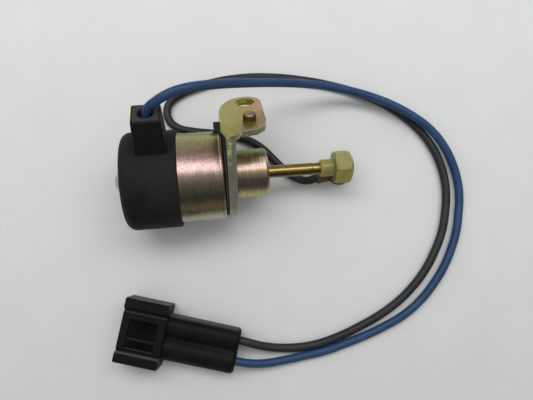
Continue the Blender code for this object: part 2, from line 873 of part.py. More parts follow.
def make_front_collar(root):
    """Collar and fixed pole, turned in one: the spigot passes the bracket and ends in the pole face."""
    rod_bore = ROD_RADIUS + SLIDE + SLIDE
    pocket = SPRING_RADIUS + SPRING_WIRE / 2 + SEAT
    bush_bore = ROD_RADIUS + SLIDE + BUSH_WALL + SLIDE
    bush_start = COLLAR_FRONT_X - SEAL_POCKET - BUSH_STEP - BUSH_LENGTH
    seal_bore = ROD_RADIUS + 2 * SEAL_RADIUS + SEAT
    face = POLE_X
    profile = [
        (face, pocket),
        (face, SPIGOT_RADIUS - 0.3),
        (face + 0.5, SPIGOT_RADIUS),
        (COLLAR_X, SPIGOT_RADIUS),
        (COLLAR_X, COLLAR_RADIUS),
        (COLLAR_FRONT_X - COLLAR_CHAMFER, COLLAR_RADIUS),
        (COLLAR_FRONT_X, COLLAR_RADIUS - COLLAR_CHAMFER),
        (COLLAR_FRONT_X, seal_bore),
        (COLLAR_FRONT_X - SEAL_POCKET, seal_bore),
        (COLLAR_FRONT_X - SEAL_POCKET, bush_bore),
        (bush_start, bush_bore),
        (bush_start, rod_bore),
        (face + SPRING_POLE_POCKET, rod_bore),
        (face + SPRING_POLE_POCKET, pocket),
    ]
    turned("front_collar", profile, "chromate", root, SIDES_LARGE)
    bush = ring(
        bush_start + SLIDE,
        COLLAR_FRONT_X - SEAL_POCKET - SLIDE,
        ROD_RADIUS + SLIDE,
        ROD_RADIUS + SLIDE + BUSH_WALL,
    )
    turned("rod_bush", bush, "brass", root, SIDES_SMALL)
    middle = COLLAR_FRONT_X - SEAL_POCKET + SEAL_RADIUS + SLIDE
    seal = arc((middle, ROD_RADIUS + SLIDE + SEAL_RADIUS), SEAL_RADIUS, 0, 315, 7)
    turned("rod_seal", seal, "rubber", root, SIDES_SMALL)


def make_moving_group(root):
    """Everything that slides: its frame has its origin on the axis of travel."""
    slide = frame_empty("plunger_slide", root)
    front = PLUNGER_FRONT_X
    pocket = SPRING_RADIUS + SPRING_WIRE / 2 + SEAT
    thread = ROD_RADIUS + SLIDE
    seat_x = front - SPRING_PLUNGER_POCKET
    plunger = [
        (PLUNGER_REAR_X, 0),
        (PLUNGER_REAR_X, PLUNGER_RADIUS - PLUNGER_EDGE),
        (PLUNGER_REAR_X + PLUNGER_EDGE, PLUNGER_RADIUS),
        (front - PLUNGER_EDGE, PLUNGER_RADIUS),
        (front, PLUNGER_RADIUS - PLUNGER_EDGE),
        (front, pocket),
        (seat_x, pocket),
        (seat_x, thread),
        (PLUNGER_REAR_X + ROD_SOCKET, thread),
        (PLUNGER_REAR_X + ROD_SOCKET, 0),
    ]
    turned("plunger", plunger, "steel", slide, SIDES_MID)
    rod_start = PLUNGER_REAR_X + ROD_SOCKET + SLIDE
    rod_end = TIP_X + ROD_IN_TIP
    rod = [
        (rod_start, 0),
        (rod_start, ROD_RADIUS - ROD_EDGE),
        (rod_start + ROD_EDGE, ROD_RADIUS),
        (rod_end - ROD_EDGE, ROD_RADIUS),
        (rod_end, ROD_RADIUS - ROD_EDGE),
        (rod_end, 0),
    ]
    turned("push_rod", rod, "brass", slide, SIDES_SMALL)
    make_tip(slide)
    return slide


def make_tip(slide):
    """A nylon cap: a round stem and a hexagon head, bored for the rod, with a pad in its end."""
    across = HEAD_ACROSS_FLATS / 2
    corner = across / math.cos(math.radians(30))
    hexagon = [
        (corner * math.cos(math.radians(turn)), corner * math.sin(math.radians(turn)))
        for turn in (HEAD_TURN + 60 * side for side in range(6))
    ]
    along = Matrix(((0, 0, 1), (1, 0, 0), (0, 1, 0))).to_4x4()
    tip = prism("adjuster_tip", hexagon, HEAD_X, HEAD_FRONT_X, along, "nylon", slide)
    envelope = turned(
        "head_chamfers",
        [
            (HEAD_X - 1, 0),
            (HEAD_X - 1, across - 0.4),
            (HEAD_X, across - 0.1),
            (HEAD_X + HEAD_CHAMFER * 0.6, corner + 0.05),
            (HEAD_FRONT_X - HEAD_CHAMFER * 1.4, corner + 0.05),
            (HEAD_FRONT_X - HEAD_CHAMFER * 0.4, across - 0.1),
            (HEAD_FRONT_X, across - 0.8),
            (HEAD_FRONT_X + 1, across - 1.2),
            (HEAD_FRONT_X + 1, 0),
        ],
        None,
        slide,
        SIDES_MID,
    )
    apply_boolean(tip, envelope, "INTERSECT")
    stem = turned(
        "tip_stem",
        [
            (TIP_X, 0),
            (TIP_X, STEM_RADIUS - 0.35),
            (TIP_X + 0.35, STEM_RADIUS),
            (HEAD_X + 1, STEM_RADIUS),
            (HEAD_X + 1, 0),
        ],
        None,
        slide,
        SIDES_MID,
    )
    apply_boolean(tip, stem, "UNION")
    bore = ROD_RADIUS + SLIDE
    rod_room = turned(
        "tip_rod_room",
        [
            (TIP_X - 1, 0),
            (TIP_X - 1, bore),
            (TIP_X + ROD_IN_TIP + SLIDE, bore),
            (TIP_X + ROD_IN_TIP + SLIDE, 0),
        ],
        None,
        slide,
        SIDES_SMALL,
    )
    apply_boolean(tip, rod_room, "DIFFERENCE")
    pad_room = turned(
        "tip_pad_room",
        ring_solid(HEAD_FRONT_X - PAD_DEPTH, HEAD_FRONT_X + 1, PAD_RADIUS + SLIDE),
        None,
        slide,
        SIDES_SMALL,
    )
    apply_boolean(tip, pad_room, "DIFFERENCE")
    floor = HEAD_FRONT_X - PAD_DEPTH + SLIDE
    dome = [(floor, 0), (floor, PAD_RADIUS)]
    for i in range(5):
        a = math.radians(90 * i / 4)
        dome.append((HEAD_FRONT_X + PAD_DOME * math.sin(a), PAD_RADIUS * math.cos(a)))
    turned("tip_pad", dome, "pad", slide, SIDES_SMALL)


def ring_solid(x0, x1, radius):
    return [(x0, 0), (x0, radius), (x1, radius), (x1, 0)]


def make_small_inner_pieces(root):
    """Shim on the pole face, soft bumper behind the plunger and the return spring."""
    pocket = SPRING_RADIUS + SPRING_WIRE / 2 + SEAT
    shim = ring(POLE_X - SLIDE - SHIM_THICKNESS, POLE_X - SLIDE, pocket, SPIGOT_RADIUS)
    turned("shim_washer", shim, "brass", root, SIDES_SMALL)
    turned(
        "rear_bumper",
        ring_solid(BUMPER_X, BUMPER_X + BUMPER_THICKNESS, TUBE_BORE - 2 * SLIDE),
        "felt",
        root,
        SIDES_SMALL,
    )
    low = PLUNGER_FRONT_X - SPRING_PLUNGER_POCKET + SPRING_WIRE / 2 + SLIDE
    high = POLE_X + SPRING_POLE_POCKET - SPRING_WIRE / 2 - SLIDE
    curve = bpy.data.curves.new("return_spring", "CURVE")
    curve.dimensions = "3D"
    curve.bevel_depth = SPRING_WIRE / 2 * MM
    curve.bevel_resolution = 1
    curve.use_fill_caps = True
    per_turn = 12
    count = int(SPRING_TURNS * per_turn) + 1
    spline = curve.splines.new("POLY")
    spline.points.add(count - 1)
    for i, point in enumerate(spline.points):
        share = i / (count - 1)
        a = 2 * math.pi * SPRING_TURNS * share
        x = low + (high - low) * share
        point.co = (
            x * MM,
            SPRING_RADIUS * math.cos(a) * MM,
            SPRING_RADIUS * math.sin(a) * MM,
            1.0,
        )
    curve.materials.append(material("steel"))
    spring = bpy.data.objects.new("return_spring", curve)
    bpy.context.scene.collection.objects.link(spring)
    spring.parent = root
    return spring


def rest_tilt():
    """It lies nose down, on the boot's front edge and on the can's rim."""
    return math.atan((BOOT_RADIUS - CAN_RADIUS) / (CAN_FRONT_X - CAN_RIM - (BOOT_LENGTH - BOOT_LIP)))


def stand_on_surface(root):
    """Tilts the solenoid as it comes to rest, and puts the middle of its underside at the origin."""
    root.rotation_euler = (0, rest_tilt(), 0)
    bpy.context.view_layer.update()
    graph = bpy.context.evaluated_depsgraph_get()
    low = Vector((1e9, 1e9, 1e9))
    high = -low
    for obj in bpy.data.objects:
        if obj.hide_render or obj.type not in ("MESH", "CURVE"):
            continue
        solid = obj.evaluated_get(graph)
        mesh = solid.to_mesh()
        for vert in mesh.vertices:
            place = solid.matrix_world @ vert.co
            low = Vector(map(min, low, place))
            high = Vector(map(max, high, place))
        solid.to_mesh_clear()
    root.location = (-(low.x + high.x) / 2, -(low.y + high.y) / 2, -low.z)
    bpy.context.view_layer.update()


def build_solenoid():
    root = frame_empty("solenoid_place")
    make_can(root)
    make_boot(root)
    make_lug_splice(root)
    make_rear_stop(root)
    make_coil(root)
    make_magnetic_circuit(root)
    make_gasket(root)
    make_bracket(root)
    make_front_collar(root)
    make_moving_group(root)
    make_small_inner_pieces(root)
    stand_on_surface(root)
    return root


def smooth_route(route, spacing):
    """Evenly spaced points on the centripetal Catmull-Rom curve through a route's points."""
    knots = [Vector(point) for point in route]
    ends = [2 * knots[0] - knots[1]] + knots + [2 * knots[-1] - knots[-2]]
    fine = []
    for i in range(1, len(ends) - 2):
        p0, p1, p2, p3 = ends[i - 1 : i + 3]
        t1 = math.sqrt((p1 - p0).length)
        t2 = t1 + math.sqrt((p2 - p1).length)
        t3 = t2 + math.sqrt((p3 - p2).length)
        for step in range(12):
            t = t1 + (t2 - t1) * step / 12
            a1 = p0 * ((t1 - t) / t1) + p1 * (t / t1)
            a2 = p1 * ((t2 - t) / (t2 - t1)) + p2 * ((t - t1) / (t2 - t1))
            a3 = p2 * ((t3 - t) / (t3 - t2)) + p3 * ((t - t2) / (t3 - t2))
            b1 = a1 * ((t2 - t) / t2) + a2 * (t / t2)
            b2 = a2 * ((t3 - t) / (t3 - t1)) + a3 * ((t - t1) / (t3 - t1))
            fine.append(b1 * ((t2 - t) / (t2 - t1)) + b2 * ((t - t1) / (t2 - t1)))
    fine.append(knots[-1])
    length = sum((b - a).length for a, b in zip(fine, fine[1:]))
    count = max(2, round(length / spacing))
    points = [fine[0]]
    walked = 0.0
    for a, b in zip(fine, fine[1:]):
        span = (b - a).length
        while len(points) < count and walked + span >= length * len(points) / count:
            share = (length * len(points) / count - walked) / span
            points.append(a.lerp(b, share))
        walked += span
    points.append(fine[-1])
    return points, length


def make_lead(name, route, material_name):
    points, length = smooth_route(route, LEAD_SPACING)
    curve = bpy.data.curves.new(name, "CURVE")
    curve.dimensions = "3D"
    curve.bevel_depth = LEAD_RADIUS * MM
    curve.bevel_resolution = 2
    curve.use_fill_caps = True
    spline = curve.splines.new("POLY")
    spline.points.add(len(points) - 1)
    for point, place in zip(spline.points, points):
        point.co = (*(place * MM), 1.0)
    curve.materials.append(material(material_name))
    lead = bpy.data.objects.new(name, curve)
    bpy.context.scene.collection.objects.link(lead)
    print(name, "length", round(length, 1), "mm,", len(points), "points")
    return lead


def box_mesh(x0, x1, y0, y1, z0, z1):
    bm = bmesh.new()
    bmesh.ops.create_cube(bm, size=1.0)
    size = Matrix.Diagonal(((x1 - x0) * MM, (y1 - y0) * MM, (z1 - z0) * MM, 1.0))
    middle = Vector(((x0 + x1) / 2 * MM, (y0 + y1) / 2 * MM, (z0 + z1) / 2 * MM))
    bmesh.ops.transform(bm, matrix=Matrix.Translation(middle) @ size, verts=bm.verts)
    return bm


def box(name, bounds, material_name, parent):
    return new_object(name, box_mesh(*bounds), material_name, parent)


def lengthwise(name, profile, across, height, material_name, parent, sides=SIDES_SMALL):
    """A turned piece whose axis runs along the connector at the given place across and height."""
    bm = turned_mesh(profile, sides)
    bmesh.ops.translate(bm, verts=bm.verts, vec=(0, across * MM, height * MM))
    return new_object(name, bm, material_name, parent)


def make_connector():
    """Two-way housing: a block with a socket, a window and side rails, and a barrel behind for each lead."""
    place = frame_empty("connector_place")
    place.location = (CONNECTOR_PLACE[0] * MM, CONNECTOR_PLACE[1] * MM, 0)
    place.rotation_euler = (0, 0, math.radians(CONNECTOR_TURN))
    half = BLOCK_WIDTH / 2
    top = BLOCK_HEIGHT - RAIL_STEP
    middle = BARREL_RADIUS + 0.9
    end = BLOCK_LENGTH + BARREL_LENGTH

    outline = [
        (-half, 1.2),
        (-half + 1.2, 0),
        (half - 1.2, 0),
        (half, 1.2),
        (half, BLOCK_HEIGHT - 0.5),
        (half - 0.5, BLOCK_HEIGHT),
        (half - RAIL_WIDTH + 0.2, BLOCK_HEIGHT),
        (half - RAIL_WIDTH, BLOCK_HEIGHT - 0.2),
        (half - RAIL_WIDTH - 0.4, top - 0.5),
        (half - RAIL_WIDTH - 1.1, top - 0.5),
        (half - RAIL_WIDTH - 1.4, top),
        (-half + RAIL_WIDTH + 1.4, top),
        (-half + RAIL_WIDTH + 1.1, top - 0.5),
        (-half + RAIL_WIDTH + 0.4, top - 0.5),
        (-half + RAIL_WIDTH, BLOCK_HEIGHT - 0.2),
        (-half + RAIL_WIDTH - 0.2, BLOCK_HEIGHT),
        (-half + 0.5, BLOCK_HEIGHT),
        (-half, BLOCK_HEIGHT - 0.5),
    ]
    along = Matrix(((0, 0, 1), (1, 0, 0), (0, 1, 0))).to_4x4()
    housing = prism("connector_housing", outline, 0, BLOCK_LENGTH, along, "connector", place)
    for side in (-1, 1):
        across = side * BARREL_SPACING / 2
        barrel = lengthwise(
            "barrel_body_" + ("blue" if side < 0 else "black"),
            [
                (BLOCK_LENGTH - 1.5, 0),
                (BLOCK_LENGTH - 1.5, BARREL_RADIUS + 0.15),
                (end - 0.8, BARREL_RADIUS),
                (end, BARREL_RADIUS - 0.8),
                (end, 0),
            ],
            across,
            middle,
            None,
            place,
        )
        apply_boolean(housing, barrel, "UNION")
    web_low = middle - BARREL_RADIUS * 0.72
    web_high = middle + BARREL_RADIUS * 0.72
    web = box(
        "barrel_web",
        (BLOCK_LENGTH - 1.0, end - 1.2, -BARREL_SPACING / 2, BARREL_SPACING / 2, web_low, web_high),
        None,
        place,
    )
    apply_boolean(housing, web, "UNION")
    socket = box(
        "socket_room",
        (
            -1.0,
            CAVITY_DEPTH,
            -CAVITY_WIDTH / 2,
            CAVITY_WIDTH / 2,
            CAVITY_FLOOR,
            CAVITY_FLOOR + CAVITY_HEIGHT,
        ),
        None,
        place,
    )
    apply_boolean(housing, socket, "DIFFERENCE")
    window_start = (BLOCK_LENGTH - WINDOW_LENGTH) / 2
    window_low = WINDOW_ACROSS - WINDOW_WIDTH / 2
    window_high = WINDOW_ACROSS + WINDOW_WIDTH / 2
    window_end = window_start + WINDOW_LENGTH
    recess = box(
        "window_recess",
        (window_start, window_end, window_low, window_high, top - RIB_RECESS, BLOCK_HEIGHT + 1),
        None,
        place,
    )
    apply_boolean(housing, recess, "DIFFERENCE")
    spans = (
        (window_low, RIB_ACROSS - RIB_WIDTH / 2),
        (RIB_ACROSS + RIB_WIDTH / 2, window_high),
    )
    for i, (low, high) in enumerate(spans):
        window = box(
            "window_" + str(i + 1),
            (window_start, window_end, low, high, CAVITY_FLOOR + 3.0, BLOCK_HEIGHT + 1),
            None,
            place,
        )
        apply_boolean(housing, window, "DIFFERENCE")
    for side in (-1, 1):
        across = side * BARREL_SPACING / 2
        tag = "a" if side < 0 else "b"
        bore = lengthwise(
            "terminal_bore_" + tag,
            ring_solid(CAVITY_DEPTH - 1.0, end + 1, BARREL_BORE),
            across,
            middle,
            None,
            place,
        )
        apply_boolean(housing, bore, "DIFFERENCE")
        crimp_end = end - SEAL_LENGTH - 2.4
        blade = box(
            "terminal_" + tag,
            (
                CAVITY_DEPTH - BLADE_REACH,
                crimp_end - CRIMP_SLEEVE + 1.0,
                across - BLADE_WIDTH / 2,
                across + BLADE_WIDTH / 2,
                middle - BLADE_THICKNESS / 2,
                middle + BLADE_THICKNESS / 2,
            ),
            "brass",
            place,
        )
        crimp = lengthwise(
            "crimp_" + tag,
            ring(crimp_end - CRIMP_SLEEVE, crimp_end, LEAD_RADIUS + SLIDE, CRIMP_BARREL),
            across,
            middle,
            None,
            place,
            16,
        )
        apply_boolean(blade, crimp, "UNION")
        lengthwise(
            "wire_seal_" + tag,
            ring(end - SEAL_LENGTH, end - 0.3, LEAD_RADIUS + SLIDE, BARREL_BORE - SLIDE),
            across,
            middle,
            "rubber",
            place,
        )
    return place


def make_ring_terminal():
    """A flat ring with a tongue and a ferrule that holds the end of the black lead."""
    place = frame_empty("ring_terminal_place")
    place.location = (RING_PLACE[0] * MM, RING_PLACE[1] * MM, 0)
    place.rotation_euler = (0, 0, math.radians(180 + RING_TURN))
    flat = Matrix.Identity(4)
    body = prism(
        "ring_terminal",
        arc((0, 0), RING_OUTER, 0, 345, 23),
        0,
        RING_THICKNESS,
        flat,
        "brass",
        place,
    )
    tongue = prism(
        "ring_tongue",
        [
            (RING_OUTER - 1.4, -2.2),
            (FERRULE_START + 0.8, -1.3),
            (FERRULE_START + 0.8, 1.3),
            (RING_OUTER - 1.4, 2.2),
        ],
        0.02,
        RING_THICKNESS + 0.05,
        flat,
        None,
        place,
    )
    apply_boolean(body, tongue, "UNION")
    ferrule_mesh = turned_mesh(
        ring(FERRULE_START, FERRULE_START + FERRULE_LENGTH, LEAD_RADIUS + SLIDE, FERRULE_RADIUS),
        16,
    )
    bmesh.ops.translate(ferrule_mesh, verts=ferrule_mesh.verts, vec=(0, 0, FERRULE_RADIUS * MM))
    ferrule = new_object("ring_ferrule", ferrule_mesh, None, place)
    apply_boolean(body, ferrule, "UNION")
    hole = prism(
        "ring_hole",
        arc((0, 0), RING_HOLE, 0, 345, 23),
        -1,
        RING_THICKNESS + 1,
        flat,
        None,
        place,
    )
    apply_boolean(body, hole, "DIFFERENCE")
    return place


clear_scene()
build_solenoid()
make_connector()
make_ring_terminal()
make_lead("blue_lead", BLUE_ROUTE, "blue_pvc")
make_lead("black_lead", BLACK_ROUTE, "black_pvc")
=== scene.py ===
# %% [markdown]
# # An idle stop solenoid, lying on a pale bench
# A carburettor's idle stop solenoid is a plated can with a coil in it, a rubber boot behind, a bracket
# with an ear in front, and a brass rod that pushes the throttle lever with a nylon head. Two leads come
# with it. The solids were made before this lesson starts, so here we only load them,
# lay the leads, shape finer versions of what shows, and give every piece its finish.

# %% Load the solids
import json
import math

import bpy
from mathutils import Matrix, Vector


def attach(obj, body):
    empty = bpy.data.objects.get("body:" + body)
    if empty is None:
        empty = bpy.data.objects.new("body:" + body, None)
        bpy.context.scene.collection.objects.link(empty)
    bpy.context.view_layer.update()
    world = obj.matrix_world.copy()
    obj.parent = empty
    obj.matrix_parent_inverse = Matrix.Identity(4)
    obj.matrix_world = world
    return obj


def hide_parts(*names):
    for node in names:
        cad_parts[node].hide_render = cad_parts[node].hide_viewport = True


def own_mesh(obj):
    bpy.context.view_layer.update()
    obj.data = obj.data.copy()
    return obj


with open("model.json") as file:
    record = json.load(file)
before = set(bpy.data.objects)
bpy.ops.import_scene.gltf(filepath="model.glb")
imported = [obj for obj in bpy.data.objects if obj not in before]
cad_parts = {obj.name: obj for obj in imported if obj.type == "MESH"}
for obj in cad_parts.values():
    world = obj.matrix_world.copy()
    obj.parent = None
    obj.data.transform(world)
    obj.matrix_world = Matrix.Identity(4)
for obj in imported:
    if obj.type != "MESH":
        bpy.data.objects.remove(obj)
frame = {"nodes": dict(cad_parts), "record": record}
scene = bpy.context.scene
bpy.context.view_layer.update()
MM = 0.001
print("solids loaded:", len(frame["nodes"]))

# %% [markdown]
# ## The camera
# The picture looks almost straight down at the bench. Position and axes were worked out from the picture,
# and a camera can take them directly as a matrix. That is surer than three turns that depend on each other.

# %% Stand the camera over the bench
camera_data = bpy.data.cameras.new("camera")
camera_data.sensor_width = 36.0
camera_data.lens = 37.15
camera_data.clip_start = 0.001
camera = bpy.data.objects.new("camera", camera_data)
scene.collection.objects.link(camera)
scene.camera = camera
picture_right = Vector((0.9963, -0.0851, -0.0076)).normalized()
roughly_up = Vector((0.0854, 0.9923, 0.0896))
picture_back = picture_right.cross(roughly_up).normalized()
picture_up = picture_back.cross(picture_right)
eye = Vector((8.91, -29.47, 189.36)) * MM
turn = Matrix((picture_right, picture_up, picture_back)).transposed().to_4x4()
camera.matrix_world = Matrix.Translation(eye) @ turn
print("camera height in mm:", round(eye.z / MM, 1))

# %% [markdown]
# ## Small helpers for finishes
# A finish is a node tree. Most trees here are short, so one helper adds a node, sets its values and
# links its inputs in a single call. Noise in several sizes gives a surface its mottling, and a bump
# node turns a height into light and shade without adding faces.


# %% Add a shader node with its links
WHITE = (1.0, 1.0, 1.0)


def add_node(tree, kind, inputs=None, **settings):
    made = tree.nodes.new("ShaderNode" + kind)
    for name, value in settings.items():
        setattr(made, name, value)
    for socket, value in (inputs or {}).items():
        if isinstance(value, bpy.types.NodeSocket):
            tree.links.new(value, made.inputs[socket])
        else:
            made.inputs[socket].default_value = value
    return made


def maths(tree, operation, *values):
    """A Math node whose values are numbers, or the sockets that they come from."""
    return add_node(tree, "Math", dict(enumerate(values)), operation=operation).outputs[0]


def new_finish(name, roughness, metallic=0.0):
    finish = bpy.data.materials.new(name)
    finish.use_nodes = True
    shader = finish.node_tree.nodes["Principled BSDF"]
    shader.inputs["Roughness"].default_value = roughness
    shader.inputs["Metallic"].default_value = metallic
    return finish, finish.node_tree, shader


def colour_ramp(tree, factor, stops):
    ramp = add_node(tree, "ValToRGB", {"Fac": factor})
    bands = ramp.color_ramp.elements
    while len(bands) < len(stops):
        bands.new(0.5)
    for band, (place, colour) in zip(bands, stops):
        band.position = place
        band.color = (*colour, 1.0)
    return ramp.outputs["Color"]


def mix_colour(tree, factor, first, second, blend="MIX"):
    mixed = add_node(tree, "Mix", data_type="RGBA", blend_type=blend)
    for socket, value in zip((mixed.inputs[0], mixed.inputs[6], mixed.inputs[7]), (factor, first, second)):
        if isinstance(value, bpy.types.NodeSocket):
            tree.links.new(value, socket)
        elif isinstance(value, float):
            socket.default_value = value
        else:
            socket.default_value = (*value, 1.0)
    return mixed.outputs[2]


def mottling(tree, coordinates, scale, detail=4.0, roughness=0.55):
    noise = add_node(
        tree,
        "TexNoise",
        {"Vector": coordinates, "Scale": scale, "Detail": detail, "Roughness": roughness},
    )
    return noise.outputs["Fac"]


def relief(tree, shader, height, strength, distance):
    bump = add_node(tree, "Bump", {"Height": height, "Strength": strength, "Distance": distance})
    tree.links.new(bump.outputs["Normal"], shader.inputs["Normal"])


def vary_roughness(tree, shader, noise, roughness, spread):
    varied = maths(tree, "MULTIPLY_ADD", noise, spread, roughness - spread / 2)
    tree.links.new(varied, shader.inputs["Roughness"])


def piece_coordinates(tree):
    return add_node(tree, "TexCoord").outputs["Object"]


print("finish helpers ready")

# %% [markdown]
# ## The leads
# The leads are the largest thing in the picture, so they come first. Each is thin-walled flexible
# insulation over stranded copper: slightly glossy, and never perfectly even. A curve with a round bevel
# is the right tool. A few dozen listed points give the route, and automatic handles keep it smooth.

# %% Insulation for the leads


def insulation(name, dark, light):
    finish, tree, shader = new_finish(name, 0.42)
    where = piece_coordinates(tree)
    broad = mottling(tree, where, 130.0)
    tree.links.new(colour_ramp(tree, broad, ((0.3, dark), (0.75, light))), shader.inputs["Base Color"])
    relief(tree, shader, mottling(tree, where, 900.0), 0.25, 0.00008)
    shader.inputs["Specular IOR Level"].default_value = 0.25
    return finish


blue_insulation = insulation("blue_insulation", (0.014, 0.042, 0.105), (0.022, 0.062, 0.145))
black_insulation = insulation("black_insulation", (0.014, 0.015, 0.017), (0.023, 0.025, 0.028))
print("insulation made")

# %% Routes of the two leads, in millimetres
LEAD_DIAMETER = 2.8 * MM
BLUE_ROUTE = (
    (-23.63, 7.67, 32.16),
    (-23.25, 10.57, 35.96),
    (-22.61, 12.0, 37.79),
    (-21.31, 13.12, 39.15),
    (-19.68, 13.87, 39.98),
    (-17.15, 14.96, 40.84),
    (-14.21, 15.97, 41.23),
    (-10.89, 16.85, 40.7),
    (-6.92, 17.78, 38.82),
    (-2.04, 18.92, 35.28),
    (3.82, 20.26, 30.2),
    (10.59, 21.64, 24.23),
    (17.99, 22.79, 18.18),
    (25.75, 23.31, 12.88),
    (33.75, 22.84, 8.94),
    (41.72, 21.21, 6.57),
    (49.21, 18.55, 5.43),
    (55.83, 15.15, 4.97),
    (61.64, 11.18, 4.64),
    (66.75, 6.58, 4.03),
    (70.91, 0.74, 3.06),
    (73.63, -5.93, 2.11),
    (74.78, -12.18, 1.55),
    (74.72, -17.28, 1.45),
    (73.9, -22.2, 1.45),
    (72.5, -28.2, 1.45),
    (70.1, -34.2, 1.45),
    (67.0, -39.9, 1.45),
    (62.8, -45.5, 1.45),
    (57.7, -50.7, 1.45),
    (51.7, -55.0, 1.45),
    (44.9, -58.2, 1.45),
    (38.2, -60.7, 1.45),
    (31.1, -62.8, 1.45),
    (24.3, -64.6, 1.45),
    (17.4, -65.6, 1.5),
    (10.6, -66.4, 1.9),
    (4.6, -66.7, 3.0),
    (-1.4, -66.0, 4.5),
    (-6.24, -64.68, 5.0),
    (-11.03, -63.26, 5.0),
)
BLACK_ROUTE = (
    (-9.07, -56.65, 5.0),
    (-4.28, -58.07, 5.0),
    (-0.2, -59.6, 4.6),
    (4.6, -61.3, 3.0),
    (10.0, -62.4, 1.7),
    (15.8, -62.7, 1.45),
    (22.5, -62.0, 1.45),
    (29.4, -60.2, 1.45),
    (36.4, -57.6, 1.45),
    (43.5, -54.4, 1.45),
    (49.6, -50.8, 1.45),
    (55.0, -46.5, 1.45),
    (60.0, -41.2, 1.45),
    (64.3, -34.8, 1.45),
    (67.6, -28.0, 1.45),
    (69.5, -21.1, 1.45),
    (70.35, -15.88, 1.45),
    (70.42, -10.93, 1.45),
    (69.46, -4.91, 1.45),
    (66.99, 1.85, 1.45),
    (62.87, 8.18, 1.45),
    (57.69, 13.36, 1.45),
    (51.68, 17.8, 1.45),
    (44.37, 21.76, 1.45),
    (35.0, 25.44, 1.45),
    (24.17, 28.48, 1.45),
    (13.05, 30.42, 1.45),
    (2.87, 30.96, 1.45),
    (-5.8, 30.26, 1.45),
    (-12.75, 28.75, 1.45),
    (-18.12, 26.85, 1.45),
    (-21.61, 24.4, 1.45),
    (-22.97, 21.14, 1.45),
    (-22.2, 17.7, 1.45),
    (-19.39, 15.08, 1.45),
    (-14.48, 13.49, 1.45),
    (-7.91, 12.22, 1.45),
    (-1.13, 10.72, 1.45),
    (4.42, 8.63, 1.45),
    (8.47, 5.8, 1.45),
    (11.58, 2.45, 1.45),
    (14.25, -0.77, 1.45),
    (16.79, -3.46, 1.45),
    (19.52, -5.67, 1.6),
    (23.0, -7.02, 1.9),
    (26.0, -6.62, 1.95),
    (28.93, -6.2, 1.95),
)
print("route points:", len(BLUE_ROUTE), "and", len(BLACK_ROUTE))


# %% Lay a lead along its route
def lay_lead(name, route, finish):
    curve = bpy.data.curves.new(name, "CURVE")
    curve.dimensions = "3D"
    curve.bevel_depth = LEAD_DIAMETER / 2
    curve.bevel_resolution = 6
    curve.resolution_u = 10
    curve.use_fill_caps = True
    spline = curve.splines.new("BEZIER")
    spline.bezier_points.add(len(route) - 1)
    for point, place in zip(spline.bezier_points, route):
        point.co = Vector(place) * MM
        point.handle_left_type = "AUTO"
        point.handle_right_type = "AUTO"
    curve.materials.append(finish)
    lead = bpy.data.objects.new(name, curve)
    scene.collection.objects.link(lead)
    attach(lead, "solenoid")
    print(name, "has", len(route), "points")
    return lead


blue = lay_lead("blue_wire", BLUE_ROUTE, blue_insulation)
black = lay_lead("black_wire", BLACK_ROUTE, black_insulation)
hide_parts("blue_lead")
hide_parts("black_lead")

# %% [markdown]
# ## Turning round pieces
# The can, the collar, the rod and the stop are all turned or drawn round. On the bench that is a lathe.
# Here a circle stands at the first point of the profile, and is extruded and resized along the rest of
# it, which follows the lathe's cut from end to end. The profile is in millimetres along the solenoid's own
# axis. The solenoid lies a little nose down, so a finished piece is turned to that rest, and its place goes
# into its mesh.

# %% The solenoid's place on the bench
NOSE_DOWN = math.radians(5.64825)
REST_PLACE = Vector((-35.861, -4.469, 17.147)) * MM
SOLENOID_PLACE = Matrix.Translation(REST_PLACE) @ Matrix.Rotation(NOSE_DOWN, 4, "Y")
print("nose down by", round(math.degrees(NOSE_DOWN), 2), "degrees")


# %% Extrude and resize a circle along a profile
def start_fresh():
    if bpy.context.mode != "OBJECT":
        bpy.ops.object.mode_set(mode="OBJECT")
    bpy.ops.object.select_all(action="DESELECT")


def settle(piece, place):
    """Puts the piece in its place, and that place in its mesh."""
    start_fresh()
    piece.matrix_world = place @ piece.matrix_world
    piece.select_set(True)
    bpy.context.view_layer.objects.active = piece
    bpy.ops.object.transform_apply(location=True, rotation=True, scale=True)


def turned_piece(name, profile, sides, solid_start=False):
    start_fresh()
    first_x, first_radius = profile[0]
    bpy.ops.mesh.primitive_circle_add(
        vertices=sides,
        radius=first_radius * MM,
        location=(first_x * MM, 0, 0),
        rotation=(0, math.pi / 2, 0),
    )
    piece = bpy.context.object
    piece.name = name
    bpy.ops.object.transform_apply(location=True, rotation=True, scale=True)
    bpy.ops.object.mode_set(mode="EDIT")
    bpy.ops.mesh.select_all(action="SELECT")
    if solid_start:
        bpy.ops.mesh.edge_face_add()
    for (x, radius), (next_x, next_radius) in zip(profile, profile[1:]):
        bpy.ops.mesh.extrude_region_move(
            TRANSFORM_OT_translate={"value": ((next_x - x) * MM, 0, 0)}
        )
        grown = next_radius / radius
        bpy.ops.transform.resize(value=(1, grown, grown), center_override=(next_x * MM, 0, 0))
    bpy.ops.mesh.select_all(action="SELECT")
    bpy.ops.mesh.remove_doubles(threshold=1e-6)
    bpy.ops.mesh.normals_make_consistent(inside=False)
    bpy.ops.object.mode_set(mode="OBJECT")
    settle(piece, SOLENOID_PLACE)
    bpy.ops.object.shade_smooth_by_angle(angle=math.radians(32))
    return piece


def finish_piece(piece, finish, slot, body, *nodes):
    piece.data.materials.clear()
    piece.data.materials.append(finish)
    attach(piece, body)
    if nodes:
        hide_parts(*nodes)
    print(piece.name, "has", len(piece.data.polygons), "faces")


